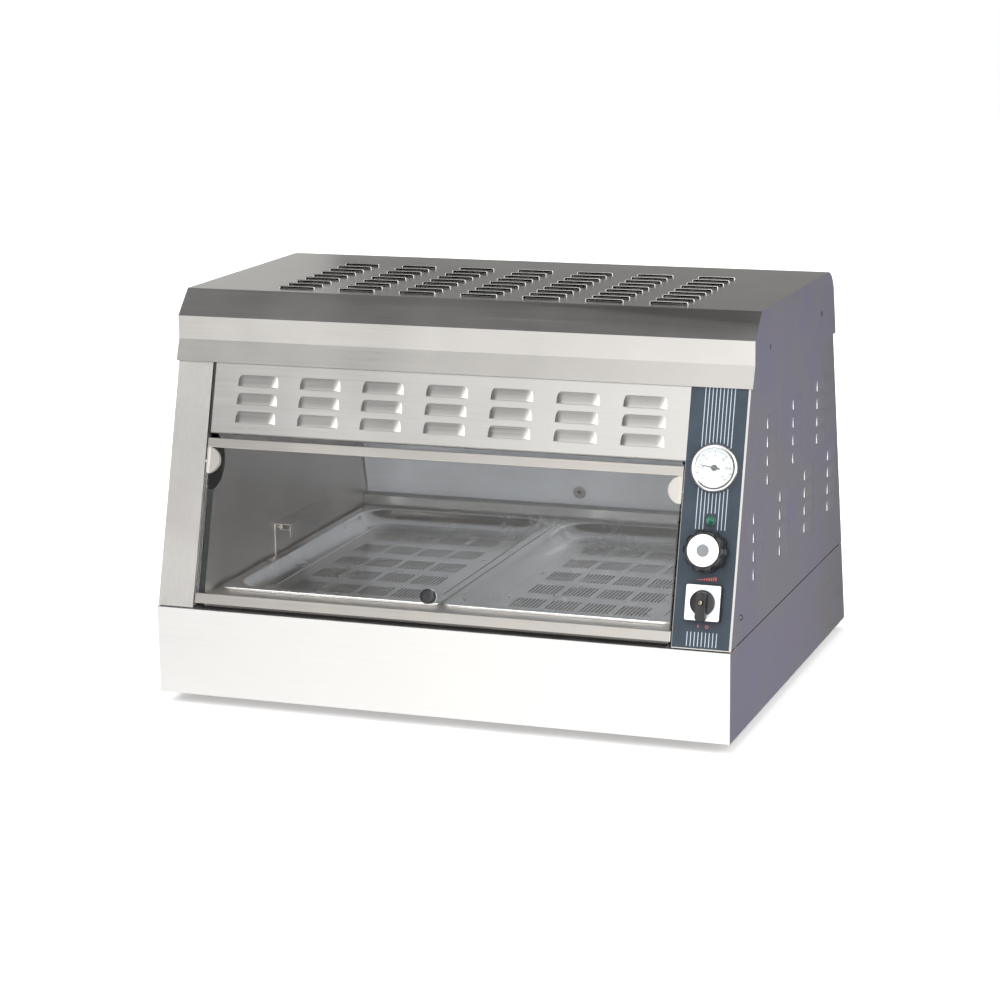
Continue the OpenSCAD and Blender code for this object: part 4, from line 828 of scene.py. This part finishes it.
# ---------------------------------------------------------------- wires and capillaries
ceil_lo, ceil_hi = (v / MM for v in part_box("ceiling_panel"))
hold_lo, hold_hi = (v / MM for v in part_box("lamp_holders"))
wire_lo, wire_hi = (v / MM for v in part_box("lamp_wiring"))
tube_lo, tube_hi = (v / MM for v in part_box("quartz_lamps"))
tube_z = (tube_lo.z + tube_hi.z) / 2
loom_x, loom_z, low_z = wire_hi.x - 1.8, wire_hi.z - 1.8, wire_lo.z
wires = []
for i, y in enumerate((-90, 90)):
    wires.append(tube([(loom_x, 100 + 6 * i, low_z), (loom_x, 100 + 6 * i, loom_z), (hold_hi.x + 10, y, loom_z), (hold_hi.x + 10, y, tube_z), (hold_hi.x, y, tube_z)], 1.5))
    wires.append(tube([(hold_hi.x + 10, y, loom_z), (hold_lo.x - 10, y + 20, loom_z), (hold_lo.x - 10, y, tube_z), (hold_lo.x, y, tube_z)], 1.5))
piece("lamp_wiring_look", *merge(*wires), "red_wire", "case", "red_wire", ["lamp_wiring"], smooth=60)
refine("thermometer_probe", "inner", 0.0)
refine("thermostat_probe", "inner", 0.0)

# ---------------------------------------------------------------- floor, light and camera
bm = bmesh.new()
bmesh.ops.create_grid(bm, x_segments=8, y_segments=8, size=9.0)
me = bpy.data.meshes.new("floor")
bm.to_mesh(me)
bm.free()
floor = bpy.data.objects.new("floor", me)
bpy.context.scene.collection.objects.link(floor)
fm, tree, bsdf = material("floor_white", (0.92, 0.92, 0.92), 0.0, 0.9)
tree.links.new(ramp(tree, noise(tree, 3.0), [(0.3, (0.915, 0.915, 0.915)), (0.7, (0.93, 0.93, 0.93))]), bsdf.inputs["Base Color"])
bsdf.inputs["Emission Color"].default_value = (1, 1, 1, 1)
bsdf.inputs["Emission Strength"].default_value = 0.30
me.materials.append(fm)
floor.visible_glossy = False

# Soft surroundings: azimuth from the front (middle, inner and outer half width), elevation (fade in from, to,
# fade out from, to), all in degrees, then colour and strength
SKY = [
    ((-3, 10, 28), (-20, -8, 40, 62), (1.0, 0.995, 0.98), 1.35),
    ((0, 40, 75), (-75, -60, -16, -11), (1.0, 0.995, 0.985), 1.05),
    ((55, 25, 50), (-15, -5, 45, 65), (1.0, 0.995, 0.98), 2.4),
]
BASE_LIGHT = 0.17


def window(tree, value, a, b, c, d):
    """1 between b and c, fading to 0 at a and d."""
    sides = []
    for lo, hi in ((a, b), (d, c)):
        node = tree.nodes.new("ShaderNodeMapRange")
        node.interpolation_type = "SMOOTHSTEP"
        node.inputs["From Min"].default_value = lo
        node.inputs["From Max"].default_value = hi
        tree.links.new(value, node.inputs["Value"])
        sides.append(node.outputs["Result"])
    return calc(tree, "MULTIPLY", *sides)


def calc(tree, operation, *values):
    node = tree.nodes.new("ShaderNodeMath")
    node.operation = operation
    for socket, value in zip(node.inputs, values):
        if isinstance(value, (int, float)):
            socket.default_value = value
        else:
            tree.links.new(value, socket)
    return node.outputs[0]


world = bpy.data.worlds.new("studio")
bpy.context.scene.world = world
world.use_nodes = True
tree = world.node_tree
tree.nodes.clear()
coord = tree.nodes.new("ShaderNodeTexCoord")
axes = tree.nodes.new("ShaderNodeSeparateXYZ")
tree.links.new(coord.outputs["Generated"], axes.inputs[0])
azimuth = calc(tree, "DEGREES", calc(tree, "ARCTAN2", axes.outputs["X"], calc(tree, "MULTIPLY", axes.outputs["Y"], -1.0)))
elevation = calc(tree, "DEGREES", calc(tree, "ARCSINE", axes.outputs["Z"]))
total = None
for (mid, inner, outer), heights, color, strength in SKY:
    mask = calc(tree, "MULTIPLY", window(tree, azimuth, mid - outer, mid - inner, mid + inner, mid + outer), window(tree, elevation, *heights))
    scale = tree.nodes.new("ShaderNodeVectorMath")
    scale.operation = "SCALE"
    scale.inputs[0].default_value = [c * strength for c in color]
    tree.links.new(mask, scale.inputs["Scale"])
    if total is None:
        total = scale.outputs["Vector"]
    else:
        add = tree.nodes.new("ShaderNodeVectorMath")
        tree.links.new(total, add.inputs[0])
        tree.links.new(scale.outputs["Vector"], add.inputs[1])
        total = add.outputs["Vector"]
add = tree.nodes.new("ShaderNodeVectorMath")
tree.links.new(total, add.inputs[0])
add.inputs[1].default_value = (BASE_LIGHT, BASE_LIGHT, BASE_LIGHT * 1.03)
sky = tree.nodes.new("ShaderNodeBackground")
tree.links.new(add.outputs["Vector"], sky.inputs["Color"])
plain = tree.nodes.new("ShaderNodeBackground")
plain.inputs["Color"].default_value = (1.0, 1.0, 1.0, 1)
path = tree.nodes.new("ShaderNodeLightPath")
mix = tree.nodes.new("ShaderNodeMixShader")
out = tree.nodes.new("ShaderNodeOutputWorld")
tree.links.new(path.outputs["Is Camera Ray"], mix.inputs["Fac"])
tree.links.new(sky.outputs["Background"], mix.inputs[1])
tree.links.new(plain.outputs["Background"], mix.inputs[2])
tree.links.new(mix.outputs["Shader"], out.inputs["Surface"])


def area(name, at, to, size, power, color=(1, 1, 1), glossy=True):
    light = bpy.data.lights.new(name, "AREA")
    light.shape = "RECTANGLE"
    light.size, light.size_y = size
    light.energy = power
    light.color = color
    obj = bpy.data.objects.new(name, light)
    bpy.context.scene.collection.objects.link(obj)
    obj.location = at
    obj.rotation_euler = (Vector(to) - Vector(at)).to_track_quat("-Z", "Y").to_euler()
    obj.visible_glossy = glossy
    return obj


area("overhead", (-0.6, -0.6, 3.2), (0, 0, 0.2), (3.0, 3.0), 40, glossy=False)
area("front_fill", (0.6, -3.2, 1.6), (0, 0, 0.3), (2.4, 1.6), 26, glossy=False)
sun = bpy.data.lights.new("soft_day", "SUN")
sun.energy = 2.6
sun.angle = math.radians(70)
sun_obj = bpy.data.objects.new("soft_day", sun)
bpy.context.scene.collection.objects.link(sun_obj)
sun_obj.rotation_euler = (math.radians(22), math.radians(-24), 0)
sun_obj.visible_glossy = False


def card(name, corners, color, strength):
    """A soft reflector beside the object: seen only in reflections."""
    me = bpy.data.meshes.new(name)
    me.from_pydata([Vector(c) for c in corners], [], [(0, 1, 2, 3)])
    m = bpy.data.materials.new(name)
    m.use_nodes = True
    t = m.node_tree
    t.nodes.clear()
    glow = t.nodes.new("ShaderNodeEmission")
    glow.inputs["Color"].default_value = (*color, 1)
    glow.inputs["Strength"].default_value = strength
    end = t.nodes.new("ShaderNodeOutputMaterial")
    t.links.new(glow.outputs["Emission"], end.inputs["Surface"])
    me.materials.append(m)
    obj = bpy.data.objects.new(name, me)
    bpy.context.scene.collection.objects.link(obj)
    obj.visible_camera = obj.visible_diffuse = obj.visible_shadow = obj.visible_transmission = False
    return obj


for name, x0, x1, z0, z1, glow in (
        ("card_back_left", -2.2, -0.66, 0.45, 1.5, 0.62),
        ("card_back_low", -0.62, 0.8, 0.45, 0.675, 0.42),
        ("card_back_high", -0.62, 0.8, 0.69, 1.5, 0.24),
        ("card_back_right", 0.61, 1.6, -0.7, 0.44, 0.45)):
    card(name, [(x0, 0.9, z0), (x1, 0.9, z0), (x1, 0.9, z1), (x0, 0.9, z1)], (1.0, 1.0, 0.99), glow)

bpy.context.scene.view_settings.view_transform = "Standard"

az, el, roll = math.radians(19.917), math.radians(12.746), math.radians(-0.759)
back = Vector((math.sin(az) * math.cos(el), -math.cos(az) * math.cos(el), math.sin(el)))
right = Vector((0, 0, 1)).cross(back).normalized()
up = back.cross(right)
cam_x = math.cos(roll) * right + math.sin(roll) * up
cam_y = -math.sin(roll) * right + math.cos(roll) * up
cam = bpy.data.cameras.new("camera")
cam.sensor_width = 36
cam.lens = 100.12
cam.clip_start, cam.clip_end = 0.1, 100
camera = bpy.data.objects.new("camera", cam)
bpy.context.scene.collection.objects.link(camera)
camera.matrix_world = Matrix.Translation(Vector((-0.02274, 0, 0.24089)) + back * 3.979) @ Matrix((cam_x, cam_y, back)).transposed().to_4x4()
bpy.context.scene.camera = camera

bpy.context.view_layer.update()
